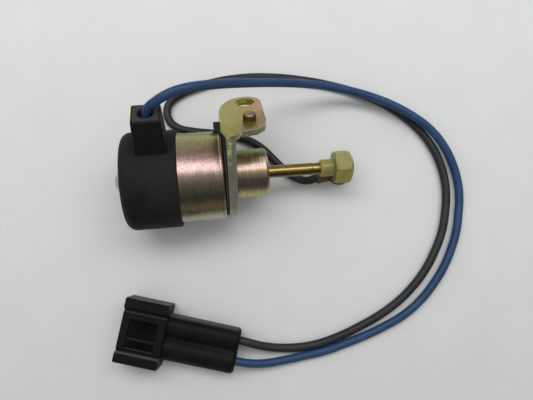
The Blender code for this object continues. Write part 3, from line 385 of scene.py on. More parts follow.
def rounded(centre_x, centre_radius, size, start, end, steps=6):
    """Profile points on a quarter or other arc, from start to end degrees."""
    points = []
    for i in range(steps + 1):
        angle = math.radians(start + (end - start) * i / steps)
        points.append((centre_x + size * math.cos(angle), centre_radius + size * math.sin(angle)))
    return points


# %% [markdown]
# ## Yellow chromate plating
# Zinc plating dipped in chromate is not one colour. Where the film is thin it is straw and green, and
# where it is thick it turns pink, and the film's colour changes round a drawn can and with the scratches of
# the drawing die. A colour ramp on the angle round the axis gives the bands. They are partly the film's own
# colours and partly painted light: a painted highlight near the crown where the lamp would shine, and on
# the viewer's side painted dark reflections of the room's low side and a painted reflection of the bench.
# Noise breaks the bands up, dark grains pepper them, and fine noise stretched round the axis gives the
# lathe's lines. The angle is read from the piece's own coordinates, turned to the solenoid's axis.


# %% Coordinates along and round the solenoid's axis
def axis_coordinates(tree):
    """Coordinates with X along the axis, the share of a turn about it, and the place along it."""
    inverse = SOLENOID_PLACE.inverted()
    moved = add_node(
        tree,
        "Mapping",
        {
            "Vector": piece_coordinates(tree),
            "Location": inverse.to_translation(),
            "Rotation": inverse.to_euler(),
        },
    ).outputs["Vector"]
    parts = add_node(tree, "SeparateXYZ", {"Vector": moved})
    angle = maths(tree, "ARCTAN2", parts.outputs["Z"], parts.outputs["Y"])
    share = maths(tree, "MULTIPLY_ADD", angle, 1 / (2 * math.pi), 0.5)
    return moved, share, parts.outputs["X"]


def seen_at(degrees):
    """Where an angle about the axis, from the picture's top side over the crown, falls on the ramp."""
    return 0.5 + degrees / 360


def lathe_lines(tree, moved, fineness):
    stretched = add_node(tree, "Mapping", {"Vector": moved, "Scale": (fineness, 90.0, 90.0)})
    return mottling(tree, stretched.outputs["Vector"], 1.0, 3.0, 0.6)


def banded_with_painted_light(name, bands, broken=0.03, speckle=0.5, streaks=0.3, fineness=5000.0, roughness=0.35):
    """Metal whose colour changes round the axis: the film's own tints with a painted highlight and painted
    reflections, plus dark grains and lines from the lathe.
    """
    finish, tree, shader = new_finish(name, roughness, 1.0)
    moved, share, _ = axis_coordinates(tree)
    cloud = mottling(tree, moved, 240.0, 6.0, 0.65)
    shift = maths(tree, "MULTIPLY_ADD", cloud, broken, -broken / 2)
    place = maths(tree, "ADD", share, shift)
    colour = colour_ramp(tree, place, [(seen_at(angle), tint) for angle, tint in bands])
    fine = mottling(tree, moved, 1900.0, 4.0, 0.75)
    grains = colour_ramp(tree, fine, ((0.40, (0.30, 0.29, 0.26)), (0.52, WHITE)))
    colour = mix_colour(tree, speckle, colour, grains, "MULTIPLY")
    lines = lathe_lines(tree, moved, fineness)
    scored = colour_ramp(tree, lines, ((0.36, (0.45, 0.43, 0.40)), (0.60, (1.25, 1.25, 1.25))))
    colour = mix_colour(tree, streaks, colour, scored, "MULTIPLY")
    tree.links.new(colour, shader.inputs["Base Color"])
    relief(tree, shader, maths(tree, "MULTIPLY_ADD", lines, streaks, fine), 0.4, 0.00003)
    vary_roughness(tree, shader, cloud, roughness, 0.22)
    return finish


# The can's pink stops at 83 and 91 degrees are a painted highlight, its dark stops from 98 to 146 are
# painted reflections of the room's dark low side, and the pale stop at 158 is a painted reflection of the
# bench.
can_plating = banded_with_painted_light(
    "can_plating",
    (
        (-170, (0.36, 0.34, 0.20)),
        (-90, (0.48, 0.44, 0.22)),
        (20, (0.40, 0.40, 0.17)),
        (38, (0.46, 0.47, 0.22)),
        (50, (0.40, 0.36, 0.16)),
        (64, (0.38, 0.27, 0.20)),
        (75, (0.30, 0.21, 0.17)),
        (83, (0.38, 0.28, 0.26)),
        (91, (0.54, 0.38, 0.36)),
        (98, (0.26, 0.20, 0.15)),
        (110, (0.14, 0.125, 0.085)),
        (124, (0.09, 0.085, 0.058)),
        (134, (0.24, 0.185, 0.115)),
        (146, (0.18, 0.16, 0.09)),
        (151, (0.34, 0.35, 0.12)),
        (158, (0.52, 0.52, 0.42)),
    ),
    broken=0.045,
)
# The collar's bright stops at 63 and 72 degrees are a painted highlight, and its dark stops from 112 to 126
# are painted reflections of the room's dark low side.
collar_plating = banded_with_painted_light(
    "collar_plating",
    (
        (-150, (0.40, 0.38, 0.20)),
        (-60, (0.36, 0.34, 0.15)),
        (22, (0.30, 0.33, 0.20)),
        (38, (0.26, 0.34, 0.13)),
        (46, (0.14, 0.16, 0.055)),
        (54, (0.34, 0.27, 0.18)),
        (63, (0.86, 0.64, 0.48)),
        (72, (0.84, 0.63, 0.50)),
        (82, (0.26, 0.19, 0.17)),
        (90, (0.42, 0.31, 0.28)),
        (94, (0.36, 0.31, 0.09)),
        (100, (0.28, 0.19, 0.17)),
        (112, (0.13, 0.09, 0.08)),
        (126, (0.13, 0.115, 0.08)),
        (138, (0.27, 0.235, 0.15)),
        (147, (0.52, 0.50, 0.20)),
        (160, (0.50, 0.50, 0.25)),
    ),
    broken=0.012,
    speckle=0.22,
    streaks=0.4,
    roughness=0.3,
)
print("plating made")

# %% [markdown]
# ## The can
# The can is deep drawn: a round cup with a soft rear corner and a rolled front rim, with a fine groove
# behind the rim. Only its front half shows, because the boot covers the rest.

# %% Turn the can
CAN_RADIUS = 14.15
CAN_WALL = 1.2
CAN_INSIDE = CAN_RADIUS - CAN_WALL
CAN_REAR = 2.3
CAN_FLOOR = CAN_REAR + CAN_WALL
CAN_FRONT = 31.9
CAN_TAIL_HOLE = 2.5
REAR_ROUNDING = 1.5
RIM_ROUNDING = 0.95
RIM_BACK = CAN_FRONT - 0.55
RIM_HOLE = CAN_RADIUS - 1.9
GROOVE_BACK = CAN_FRONT - 1.45
GROOVE_FRONT = CAN_FRONT - 1.25
GROOVE_DEPTH = 0.1
can = turned_piece(
    "drawn_can",
    [(CAN_FLOOR, CAN_TAIL_HOLE), (CAN_REAR, CAN_TAIL_HOLE)]
    + rounded(CAN_REAR + REAR_ROUNDING, CAN_RADIUS - REAR_ROUNDING, REAR_ROUNDING, 180, 90)
    + [(GROOVE_BACK, CAN_RADIUS), (GROOVE_FRONT, CAN_RADIUS - GROOVE_DEPTH)]
    + rounded(CAN_FRONT - RIM_ROUNDING, CAN_RADIUS - RIM_ROUNDING, RIM_ROUNDING, 90, 0, 8)
    + [
        (CAN_FRONT, RIM_HOLE),
        (RIM_BACK, RIM_HOLE),
        (RIM_BACK, CAN_INSIDE),
        (CAN_FLOOR, CAN_INSIDE),
        (CAN_FLOOR, CAN_TAIL_HOLE),
    ],
    sides=128,
)
finish_piece(can, can_plating, "chromate", "solenoid", "case_can")

# %% [markdown]
# ## The collar
# The collar and the pole behind it are turned from one bar, so its outside has fine tool lines and a
# clean chamfer. Inside are the spring's pocket, the rod's hole, and the seats of the bush and the seal.

# %% Turn the collar
POLE_FACE = 26.5
POLE_RADIUS = 5.0
POCKET_FLOOR = 29.9
POCKET_RADIUS = 3.68
COLLAR_BACK = 35.85
COLLAR_FRONT = 45.9
COLLAR_RADIUS = 7.8
BACK_CORNER = 0.15
CHAMFER = ((0.75, 0.0), (0.68, 0.06), (0.06, 0.66), (0.0, 0.76))
SEAL_SEAT = COLLAR_FRONT - 2.1
SEAL_SEAT_RADIUS = 3.8
BUSH_SEAT = COLLAR_FRONT - 8.4
BUSH_SEAT_RADIUS = 3.3
ROD_HOLE = 2.2
collar = turned_piece(
    "turned_collar",
    [
        (POLE_FACE, POCKET_RADIUS),
        (POLE_FACE, POLE_RADIUS - 0.3),
        (POLE_FACE + 0.5, POLE_RADIUS),
        (COLLAR_BACK, POLE_RADIUS),
        (COLLAR_BACK, COLLAR_RADIUS - BACK_CORNER),
        (COLLAR_BACK + BACK_CORNER, COLLAR_RADIUS),
    ]
    + [(COLLAR_FRONT - back, COLLAR_RADIUS - inwards) for back, inwards in CHAMFER]
    + [
        (COLLAR_FRONT, SEAL_SEAT_RADIUS),
        (SEAL_SEAT, SEAL_SEAT_RADIUS),
        (SEAL_SEAT, BUSH_SEAT_RADIUS),
        (BUSH_SEAT, BUSH_SEAT_RADIUS),
        (BUSH_SEAT, ROD_HOLE),
        (POCKET_FLOOR, ROD_HOLE),
        (POCKET_FLOOR, POCKET_RADIUS),
        (POLE_FACE, POCKET_RADIUS),
    ],
    sides=128,
)
finish_piece(collar, collar_plating, "chromate", "solenoid", "front_collar")

# %% [markdown]
# ## Brass and steel
# The rod is bright brass that mirrors a lit ceiling above and a dark bench edge below, so the same idea of
# bands serves it, with coarser marks round it. Plain steel is grey, with a soft look of brushing along the
# axis.


# %% Metals without plating
def plain_metal(name, dark, light, roughness):
    finish, tree, shader = new_finish(name, roughness, 1.0)
    moved, _, _ = axis_coordinates(tree)
    along_axis = (120.0, 2600.0, 2600.0)
    stretched = add_node(tree, "Mapping", {"Vector": moved, "Scale": along_axis})
    drawn = mottling(tree, stretched.outputs["Vector"], 1.0, 3.0)
    cloud = mottling(tree, moved, 260.0, 4.0)
    both = mix_colour(tree, 0.5, drawn, cloud)
    tree.links.new(colour_ramp(tree, both, ((0.35, dark), (0.65, light))), shader.inputs["Base Color"])
    relief(tree, shader, drawn, 0.2, 0.00002)
    return finish


# The rod's stops from 76 to 88 degrees are a painted highlight, and its dark stops from 112 to 132 are
# painted reflections of the dark bench edge.
rod_brass = banded_with_painted_light(
    "rod_brass",
    (
        (-120, (0.45, 0.33, 0.12)),
        (18, (0.46, 0.40, 0.22)),
        (40, (0.30, 0.24, 0.10)),
        (60, (0.22, 0.165, 0.065)),
        (76, (0.26, 0.195, 0.065)),
        (88, (0.32, 0.24, 0.08)),
        (99, (0.28, 0.21, 0.05)),
        (112, (0.12, 0.085, 0.03)),
        (132, (0.07, 0.05, 0.025)),
        (150, (0.19, 0.15, 0.075)),
        (166, (0.30, 0.24, 0.13)),
    ),
    broken=0.03,
    speckle=0.5,
    streaks=0.25,
    fineness=900.0,
    roughness=0.27,
)
terminal_brass = plain_metal("terminal_brass", (0.34, 0.26, 0.11), (0.55, 0.44, 0.21), 0.34)
dull_brass = plain_metal("dull_brass", (0.06, 0.05, 0.025), (0.17, 0.14, 0.07), 0.55)
turned_steel = plain_metal("turned_steel", (0.42, 0.41, 0.37), (0.66, 0.65, 0.61), 0.33)
print("metals made")

# %% Turn the rod
ROD_RADIUS = 2.0
ROD_START = 10.5
ROD_END = 69.7
ROD_EDGE = 0.3
NECK_START = 60.6
NECK_END = 63.05
NECK_SLOPE = 0.15
NECK_RADIUS = ROD_RADIUS - 0.1
rod = turned_piece(
    "brass_rod",
    [
        (ROD_START, ROD_RADIUS - ROD_EDGE),
        (ROD_START + ROD_EDGE, ROD_RADIUS),
        (NECK_START, ROD_RADIUS),
        (NECK_START + NECK_SLOPE, NECK_RADIUS),
        (NECK_END - NECK_SLOPE, NECK_RADIUS),
        (NECK_END, ROD_RADIUS),
        (ROD_END - ROD_EDGE, ROD_RADIUS),
        (ROD_END, ROD_RADIUS - ROD_EDGE),
    ],
    sides=64,
    solid_start=True,
)
finish_piece(rod, rod_brass, "brass", "plunger_group", "push_rod")

# %% Turn the rear stop with its riveted dome
DOME_TOP = -2.4
DOME_FLAT = 0.3
DOME_RADIUS = 3.9
DOME_STEPS = 12
DOME_EDGE = 2.2
DOME_RIM = DOME_EDGE - 1.3
TAIL_RADIUS = 2.4
STOP_BACK = 3.6
STOP_STEP = 4.7
STOP_FRONT = 6.0
STOP_RADIUS = 7.75
PLUG_RADIUS = 5.2
dome = [(DOME_TOP, DOME_FLAT)]
for i in range(1, DOME_STEPS):
    angle = math.radians(90 * i / DOME_STEPS)
    height = (DOME_RIM - DOME_TOP) * math.cos(angle)
    dome.append((DOME_RIM - height, DOME_RADIUS * math.sin(angle)))
stop = turned_piece(
    "peened_stop",
    dome
    + [
        (DOME_RIM, DOME_RADIUS),
        (DOME_EDGE, DOME_RADIUS),
        (DOME_EDGE, TAIL_RADIUS),
        (STOP_BACK, TAIL_RADIUS),
        (STOP_BACK, STOP_RADIUS),
        (STOP_STEP, STOP_RADIUS),
        (STOP_STEP, PLUG_RADIUS),
        (STOP_FRONT, PLUG_RADIUS),
    ],
    sides=64,
    solid_start=True,
)
finish_piece(stop, turned_steel, "steel", "solenoid", "rear_stop")

# %% [markdown]
# ## The return spring
# The spring lies in two pockets, one in the plunger and one in the pole. When the plunger slides out the
# pockets close up and the spring has to shorten, so riding on either of them would push it through the
# other. It is wound by the Screw modifier from a ring of wire.

# %% Wind the return spring
SPRING_START = 17.3
SPRING_END = 29.5
SPRING_RADIUS = 3.1
SPRING_TURNS = 6
WIRE_RADIUS = 0.275
start_fresh()
bpy.ops.mesh.primitive_circle_add(
    vertices=12,
    radius=WIRE_RADIUS * MM,
    location=(SPRING_START * MM, 0, SPRING_RADIUS * MM),
    rotation=(math.pi / 2, 0, 0),
)
spring = bpy.context.object
spring.name = "wound_spring"
bpy.ops.object.transform_apply(location=True, rotation=True, scale=True)
winding = spring.modifiers.new("winding", "SCREW")
winding.axis = "X"
winding.screw_offset = (SPRING_END - SPRING_START) / SPRING_TURNS * MM
winding.iterations = SPRING_TURNS
winding.steps = winding.render_steps = 32
bpy.ops.object.modifier_apply(modifier=winding.name)
bpy.ops.object.mode_set(mode="EDIT")
bpy.ops.mesh.select_all(action="SELECT")
bpy.ops.mesh.fill_holes(sides=0)
bpy.ops.mesh.select_all(action="SELECT")
bpy.ops.mesh.normals_make_consistent(inside=False)
bpy.ops.object.mode_set(mode="OBJECT")
settle(spring, SOLENOID_PLACE)
bpy.ops.object.shade_smooth_by_angle(angle=math.radians(40))
finish_piece(spring, turned_steel, "steel", "solenoid", "return_spring")
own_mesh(spring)

# %% [markdown]
# ## The bent bracket
# The bracket is a thick stamped plate whose top is bent over into an ear. The solid has the exact
# outline and the fading bend, so a copy of it is merged, its flat faces are dissolved back into single
# faces, and its edges get the small rounding that a stamping has. That rounding is what catches light.


# %% Copy a solid and round its edges
def refined_copy(node, name, rounding, segments=2, angle=38):
    start_fresh()
    source = frame["nodes"][node]
    piece = bpy.data.objects.new(name, source.data.copy())
    scene.collection.objects.link(piece)
    piece.select_set(True)
    bpy.context.view_layer.objects.active = piece
    bpy.ops.object.mode_set(mode="EDIT")
    bpy.ops.mesh.select_all(action="SELECT")
    bpy.ops.mesh.remove_doubles(threshold=2e-6)
    bpy.ops.mesh.dissolve_limited(angle_limit=math.radians(1.0))
    bpy.ops.object.mode_set(mode="OBJECT")
    bevel = piece.modifiers.new("edge_rounding", "BEVEL")
    bevel.width = rounding * MM
    bevel.segments = segments
    bevel.limit_method = "ANGLE"
    bevel.angle_limit = math.radians(angle)
    bpy.ops.object.modifier_apply(modifier=bevel.name)
    bpy.ops.object.shade_smooth_by_angle(angle=math.radians(35))
    even = piece.modifiers.new("even_shading", "WEIGHTED_NORMAL")
    even.keep_sharp = True
    bpy.ops.object.modifier_apply(modifier=even.name)
    return piece


# %% [markdown]
# The ear has its own axes: along the solenoid, outwards through the plate, and across. Coordinates turned
# by the bracket's angle tell the finish where it is: on the ear, at the bend, or in the wall of the bolt
# hole. The normal tells the faces from the cut edges, which are darker, brown on the ear and grey on the
# plate, with light lines along them that are partly wear and partly painted highlight where the edges
# catch light. The bright green on the bend's cut side is a painted glint, green like the film.


# %% Masks from distances and directions
def near_to(tree, value, centre, reach, fade):
    """1 where a value is within reach of centre, falling to 0 over the fade, all in millimetres."""
    away = maths(tree, "ABSOLUTE", maths(tree, "ADD", value, -centre * MM))
    return add_node(
        tree,
        "MapRange",
        {
            "Value": away,
            "From Min": reach * MM,
            "From Max": (reach + fade) * MM,
            "To Min": 1.0,
            "To Max": 0.0,
        },
    ).outputs[0]


def above(tree, value, start, end):
    """0 at start and 1 at end, both in millimetres, where start may also be the higher one."""
    limits = {"Value": value, "From Min": start * MM, "From Max": end * MM}
    return add_node(tree, "MapRange", limits).outputs[0]


def dot_with(tree, vector, direction):
    dotted = add_node(tree, "VectorMath", {0: vector, 1: direction}, operation="DOT_PRODUCT")
    return dotted.outputs["Value"]


def times(tree, mask, *others):
    for other in others:
        mask = maths(tree, "MULTIPLY", mask, other)
    return mask


print("mask helpers ready")

# %% The bracket's own coordinates
FLANGE_BACK = 32.9
EAR_TOP = 21.0
BRACKET_TURN = math.radians(39)
SOLENOID_TURN = SOLENOID_PLACE.to_3x3()
OUTWARDS = tuple(SOLENOID_TURN @ Vector((0, math.cos(BRACKET_TURN), math.sin(BRACKET_TURN))))
BACKWARDS = tuple(SOLENOID_TURN @ Vector((-1, 0, 0)))


def bracket_coordinates(tree):
    """Coordinates along the axis, the same turned to the bracket, and the X, Y and Z of those."""
    moved, _, _ = axis_coordinates(tree)
    turning = {"Vector": moved, "Rotation": (-BRACKET_TURN, 0, 0)}
    turned = add_node(tree, "Mapping", turning).outputs["Vector"]
    return moved, turned, add_node(tree, "SeparateXYZ", {"Vector": turned}).outputs


def face_mask(tree):
    """1 on the ear's top and the plate's back, and 0 on the cut edges."""
    normal = add_node(tree, "TexCoord").outputs["Normal"]
    outwards, backwards = dot_with(tree, normal, OUTWARDS), dot_with(tree, normal, BACKWARDS)
    facing = maths(tree, "MAXIMUM", outwards, backwards)
    return add_node(tree, "MapRange", {"Value": facing, "From Min": 0.5, "From Max": 0.75}).outputs[0]


print("the bracket stands at", round(math.degrees(BRACKET_TURN)), "degrees round the axis")

# %% Colours of the ear's face
TINT_START = 35.5
TINT_END = 48.0
FAR_EDGE = (6.5, 12.5)


def face_colours(tree, along, across, cloud):
    along_ear = above(tree, along, TINT_START, TINT_END)
    tint = maths(tree, "MULTIPLY_ADD", along_ear, 0.55, times(tree, cloud, 0.5))
    face = colour_ramp(
        tree,
        tint,
        (
            (0.17, (0.45, 0.45, 0.20)),
            (0.24, (0.47, 0.47, 0.13)),
            (0.32, (0.52, 0.39, 0.18)),
            (0.40, (0.46, 0.42, 0.09)),
            (0.50, (0.55, 0.40, 0.15)),
            (0.58, (0.66, 0.38, 0.27)),
            (0.68, (0.56, 0.42, 0.20)),
        ),
    )
    far_edge = times(tree, above(tree, across, *FAR_EDGE), 0.7)
    return mix_colour(tree, far_edge, face, (0.56, 0.37, 0.24))


print("the ear's tint runs over", TINT_END - TINT_START, "mm")

# %% Cut edges, light lines of wear and painted highlight, and the painted green glint at the bend
PLATE_FADE = (18.0, 16.0)
WEAR_AND_HIGHLIGHT_HEIGHT = EAR_TOP - 0.3
WEAR_AND_HIGHLIGHT_LINES = (FLANGE_BACK + 0.15, FLANGE_BACK + 2.5)
BEND_SIZE = 4.0
# The colour of the painted green glint at the bend.
GLINT_GREEN = (0.74, 1.0, 0.42)


def cut_edges(tree, colour, cut, patches, along, outwards):
    plate = above(tree, outwards, *PLATE_FADE)
    band = mix_colour(tree, patches, (0.24, 0.235, 0.17), (0.46, 0.45, 0.35))
    colour = mix_colour(tree, times(tree, plate, cut), colour, band)
    # Light lines along the cut edges of the ear and the plate: partly wear, partly painted highlight.
    wear_and_highlight = near_to(tree, outwards, WEAR_AND_HIGHLIGHT_HEIGHT, 0.15, 0.2)
    colour = mix_colour(tree, times(tree, wear_and_highlight, cut), colour, (0.62, 0.64, 0.48))
    for x in WEAR_AND_HIGHLIGHT_LINES:
        line = times(tree, near_to(tree, along, x, 0.08, 0.22), plate, 0.7)
        colour = mix_colour(tree, line, colour, (0.46, 0.45, 0.38))
    return colour


def painted_bend_glint(tree, colour, cut, patches, along, outwards, across):
    """A painted green highlight: a broken line up the plate's cut side and round the bend, and one glint on
    the ear's edge.
    """
    broken_up = colour_ramp(tree, patches, ((0.42, (0.0, 0.0, 0.0)), (0.56, WHITE)))
    rise = maths(tree, "ADD", outwards, (BEND_SIZE - EAR_TOP) * MM)
    rise = maths(tree, "MAXIMUM", rise, 0.0)
    run = maths(tree, "ADD", along, -(FLANGE_BACK + BEND_SIZE) * MM)
    corner = add_node(tree, "CombineXYZ", {0: run, 1: rise}).outputs[0]
    reach = add_node(tree, "VectorMath", {0: corner}, operation="LENGTH").outputs["Value"]
    on_bend = near_to(tree, reach, BEND_SIZE - 0.8, 0.45, 0.3)
    on_bend = times(tree, on_bend, near_to(tree, outwards, 15.2, 3.4, 1.0))
    glint = near_to(tree, along, FLANGE_BACK + BEND_SIZE, 0.4, 0.4)
    glint = times(tree, glint, near_to(tree, across, -11.6, 1.0, 0.8))
    either = maths(tree, "MAXIMUM", on_bend, glint)
    return mix_colour(tree, times(tree, either, cut, broken_up), colour, GLINT_GREEN)


print("green shows on a bend of", BEND_SIZE, "mm")

# %% Wall of the bolt hole
HOLE_ALONG = 40.2
HOLE_ACROSS = 8.5
HOLE_RADIUS = 2.8


def hole_wall(tree, colour, patches, turned, outwards):
    """Green, gold and brown patches on the hole's wall, which starts a little below the ear's top."""
    to_hole = (-HOLE_ALONG * MM, 0, HOLE_ACROSS * MM)
    centred = add_node(tree, "Mapping", {"Vector": turned, "Location": to_hole, "Scale": (1, 0, 1)})
    away = add_node(tree, "VectorMath", {0: centred.outputs["Vector"]}, operation="LENGTH")
    wall = near_to(tree, away.outputs["Value"], HOLE_RADIUS, 0.16, 0.12)
    below = above(tree, outwards, EAR_TOP - 0.05, EAR_TOP - 0.25)
    green, gold, brown = (0.16, 0.40, 0.05), (0.95, 0.80, 0.22), (0.30, 0.17, 0.12)
    wall_colour = colour_ramp(tree, patches, ((0.4, green), (0.52, gold), (0.66, brown)))
    return mix_colour(tree, times(tree, wall, below), colour, wall_colour)


print("hole wall lies", HOLE_RADIUS, "mm from the hole's centre")


# %% Plate the bracket
def bracket_plating():
    finish, tree, shader = new_finish("bracket_plating", 0.4, 1.0)
    moved, turned, ear = bracket_coordinates(tree)
    along, outwards = ear["X"], ear["Y"]
    across = maths(tree, "MULTIPLY", ear["Z"], -1.0)
    cloud = mottling(tree, moved, 150.0, 5.0, 0.6)
    patches = mottling(tree, moved, 420.0, 5.0, 0.7)
    on_face = face_mask(tree)
    cut = maths(tree, "SUBTRACT", 1.0, on_face)
    edge = mix_colour(tree, patches, (0.20, 0.17, 0.10), (0.46, 0.42, 0.27))
    colour = mix_colour(tree, on_face, edge, face_colours(tree, along, across, cloud))
    colour = cut_edges(tree, colour, cut, patches, along, outwards)
    colour = painted_bend_glint(tree, colour, cut, patches, along, outwards, across)
    colour = hole_wall(tree, colour, patches, turned, outwards)
    fine = mottling(tree, moved, 1700.0, 4.0, 0.75)
    grains = colour_ramp(tree, fine, ((0.38, (0.55, 0.54, 0.50)), (0.54, WHITE)))
    tree.links.new(mix_colour(tree, 0.55, colour, grains, "MULTIPLY"), shader.inputs["Base Color"])
    relief(tree, shader, fine, 0.4, 0.00004)
    return finish


bracket = refined_copy("bracket", "stamped_bracket", 0.3)
finish_piece(bracket, bracket_plating(), "chromate", "solenoid", "bracket")

# %% Plate the pin beside the bolt hole
PIN_STAND = 2.4


def pin_plating():
    """A plated pin: olive grey on top, dark down its side, and glowing orange where it mirrors the ear."""
    finish, tree, shader = new_finish("pin_plating", 0.36, 1.0)
    moved, _, ear = bracket_coordinates(tree)
    colour = colour_ramp(
        tree,
        above(tree, ear["Y"], EAR_TOP, EAR_TOP + PIN_STAND),
        (
            (0.0, (0.34, 0.17, 0.08)),
            (0.12, (0.26, 0.15, 0.09)),
            (0.26, (0.07, 0.062, 0.035)),
            (0.84, (0.11, 0.10, 0.055)),
            (0.88, (0.26, 0.25, 0.15)),
            (0.905, (0.50, 0.36, 0.23)),
        ),
    )
    patches = mottling(tree, moved, 500.0, 4.0, 0.7)
    grains = colour_ramp(tree, patches, ((0.35, (0.7, 0.7, 0.66)), (0.6, WHITE)))
    tree.links.new(mix_colour(tree, 0.7, colour, grains, "MULTIPLY"), shader.inputs["Base Color"])
    relief(tree, shader, patches, 0.3, 0.00004)
    return finish


pin = refined_copy("locating_pin", "ear_pin", 0.06)
finish_piece(pin, pin_plating(), "steel", "solenoid", "locating_pin")

# %% [markdown]
# ## The rubber boot
# The boot is moulded rubber: no edge is quite sharp and no face quite flat. Rebuilding the solid as small
# even faces and smoothing them gives that softness, and matt noise finishes it. The connector's plastic
# takes the same finish with finer grain. A lighter grey on the lug's top is partly dust and partly
# painted sheen, and on the connector's faces that look towards the lamp it is painted sheen.

# %% Rubber and moulded plastic
BELOW_ALL = -1000.0
LUG_TURN = math.radians(53)
LUG_WAY = tuple(SOLENOID_TURN @ Vector((0, math.cos(LUG_TURN), math.sin(LUG_TURN))))
LUG_TOP_FROM = 30.0
LAMP_WAY = (0.2, 0.95, 0.24)
# The third colour of each is the lighter grey of dust and painted sheen.
RUBBER = ((0.0035, 0.0035, 0.0035), (0.012, 0.012, 0.012), (0.036, 0.035, 0.034))
PLASTIC = ((0.0025, 0.0025, 0.0025), (0.006, 0.006, 0.006), (0.085, 0.082, 0.080))


def matt_black(name, colours, roughness, grain, strength, sheen, dust_and_sheen_way, dust_and_sheen_from, dust_and_sheen_above=BELOW_ALL):
    """A black finish, with a lighter grey, partly dust and partly painted sheen, on faces that look the
    given way and lie beyond the given height in millimetres.
    """
    finish, tree, shader = new_finish(name, roughness)
    where = piece_coordinates(tree)
    patches = mottling(tree, where, 90.0, 6.0, 0.6)
    dark, light, dust_and_sheen_colour = colours
    colour = colour_ramp(tree, patches, ((0.35, dark), (0.7, light)))
    facing = dot_with(tree, add_node(tree, "TexCoord").outputs["Normal"], dust_and_sheen_way)
    dust_and_sheen = add_node(tree, "MapRange", {"Value": facing, "From Min": dust_and_sheen_from, "From Max": 1.0})
    far_enough = above(tree, dot_with(tree, where, dust_and_sheen_way), dust_and_sheen_above, dust_and_sheen_above + 1.0)
    colour = mix_colour(tree, times(tree, dust_and_sheen.outputs[0], far_enough), colour, dust_and_sheen_colour)
    tree.links.new(colour, shader.inputs["Base Color"])
    relief(tree, shader, mottling(tree, where, grain, 5.0, 0.65), strength, 0.00015)
    vary_roughness(tree, shader, patches, roughness, 0.2)
    shader.inputs["Specular IOR Level"].default_value = sheen
    return finish


# On the boot the lighter grey lies on the lug's top: partly dust, partly painted sheen.
boot_rubber = matt_black(
    "boot_rubber",
    RUBBER,
    roughness=0.68,
    grain=260.0,
    strength=0.8,
    sheen=0.2,
    dust_and_sheen_way=LUG_WAY,
    dust_and_sheen_from=0.985,
    dust_and_sheen_above=LUG_TOP_FROM,
)
# On the housing the lighter grey on faces towards the lamp is painted sheen.
housing_plastic = matt_black(
    "housing_plastic",
    PLASTIC,
    roughness=0.5,
    grain=700.0,
    strength=0.15,
    sheen=0.1,
    dust_and_sheen_way=LAMP_WAY,
    dust_and_sheen_from=0.85,
)
print("rubber and plastic made")


# %% Soften a copy of the moulded boot
def soft_copy(node, name, face_size, passes):
    start_fresh()
    piece = bpy.data.objects.new(name, frame["nodes"][node].data.copy())
    scene.collection.objects.link(piece)
    piece.select_set(True)
    bpy.context.view_layer.objects.active = piece
    bpy.ops.object.mode_set(mode="EDIT")
    bpy.ops.mesh.select_all(action="SELECT")
    bpy.ops.mesh.remove_doubles(threshold=2e-6)
    bpy.ops.object.mode_set(mode="OBJECT")
    rebuilt = piece.modifiers.new("even_faces", "REMESH")
    rebuilt.mode = "VOXEL"
    rebuilt.voxel_size = face_size * MM
    rebuilt.use_smooth_shade = True
    bpy.ops.object.modifier_apply(modifier=rebuilt.name)
    smoothed = piece.modifiers.new("soft_edges", "SMOOTH")
    smoothed.factor = 0.5
    smoothed.iterations = passes
    bpy.ops.object.modifier_apply(modifier=smoothed.name)
    return piece


boot = soft_copy("rear_boot", "moulded_boot", 0.32, 3)
print("boot rebuilt with", len(boot.data.polygons), "faces")

# %% Draw the boot's back in against the can
BOOT_STILL_FROM = 8.0
BOOT_DRAWN_IN = 0.92
settle(boot, SOLENOID_PLACE.inverted())
for vertex in boot.data.vertices:
    vertex.select = vertex.co.x < BOOT_STILL_FROM * MM
bpy.ops.object.mode_set(mode="EDIT")
bpy.ops.transform.resize(value=(BOOT_DRAWN_IN, 1, 1), center_override=(BOOT_STILL_FROM * MM, 0, 0))
bpy.ops.object.mode_set(mode="OBJECT")
settle(boot, SOLENOID_PLACE)
finish_piece(boot, boot_rubber, "rubber", "solenoid", "rear_boot")

# %% [markdown]
# ## The nylon head
# The head screws on the rod's end and sets the idle speed. Old nylon is honey green and lets light in, so
# it gets subsurface scattering. Its hexagon is softened by the chamfers of the moulding.


# %% Nylon for the head
STEM_FADE = (68.5, 67.5)
MOUTH_FADE = (65.0, 63.3)


def nylon():
    """Honey green nylon, deeper in colour on the stem and amber at its mouth."""
    finish, tree, shader = new_finish("aged_nylon", 0.36)
    moved, _, along = axis_coordinates(tree)
    patches = mottling(tree, moved, 260.0, 4.0)
    colour = colour_ramp(tree, patches, ((0.3, (0.20, 0.185, 0.042)), (0.7, (0.31, 0.29, 0.085))))
    stem = times(tree, above(tree, along, *STEM_FADE), 0.35)
    colour = mix_colour(tree, stem, colour, (0.20, 0.17, 0.03))
    mouth = times(tree, above(tree, along, *MOUTH_FADE), 0.5)
    colour = mix_colour(tree, mouth, colour, (0.38, 0.22, 0.02))
    tree.links.new(colour, shader.inputs["Base Color"])
    shader.inputs["Subsurface Weight"].default_value = 1.0
    shader.inputs["Subsurface Radius"].default_value = (0.9, 0.8, 0.3)
    shader.inputs["Subsurface Scale"].default_value = 0.004
    relief(tree, shader, mottling(tree, moved, 700.0), 0.2, 0.00006)
    return finish


head = refined_copy("adjuster_tip", "nylon_head", 0.25, segments=3, angle=25)
finish_piece(head, nylon(), "nylon", "adjuster", "adjuster_tip")

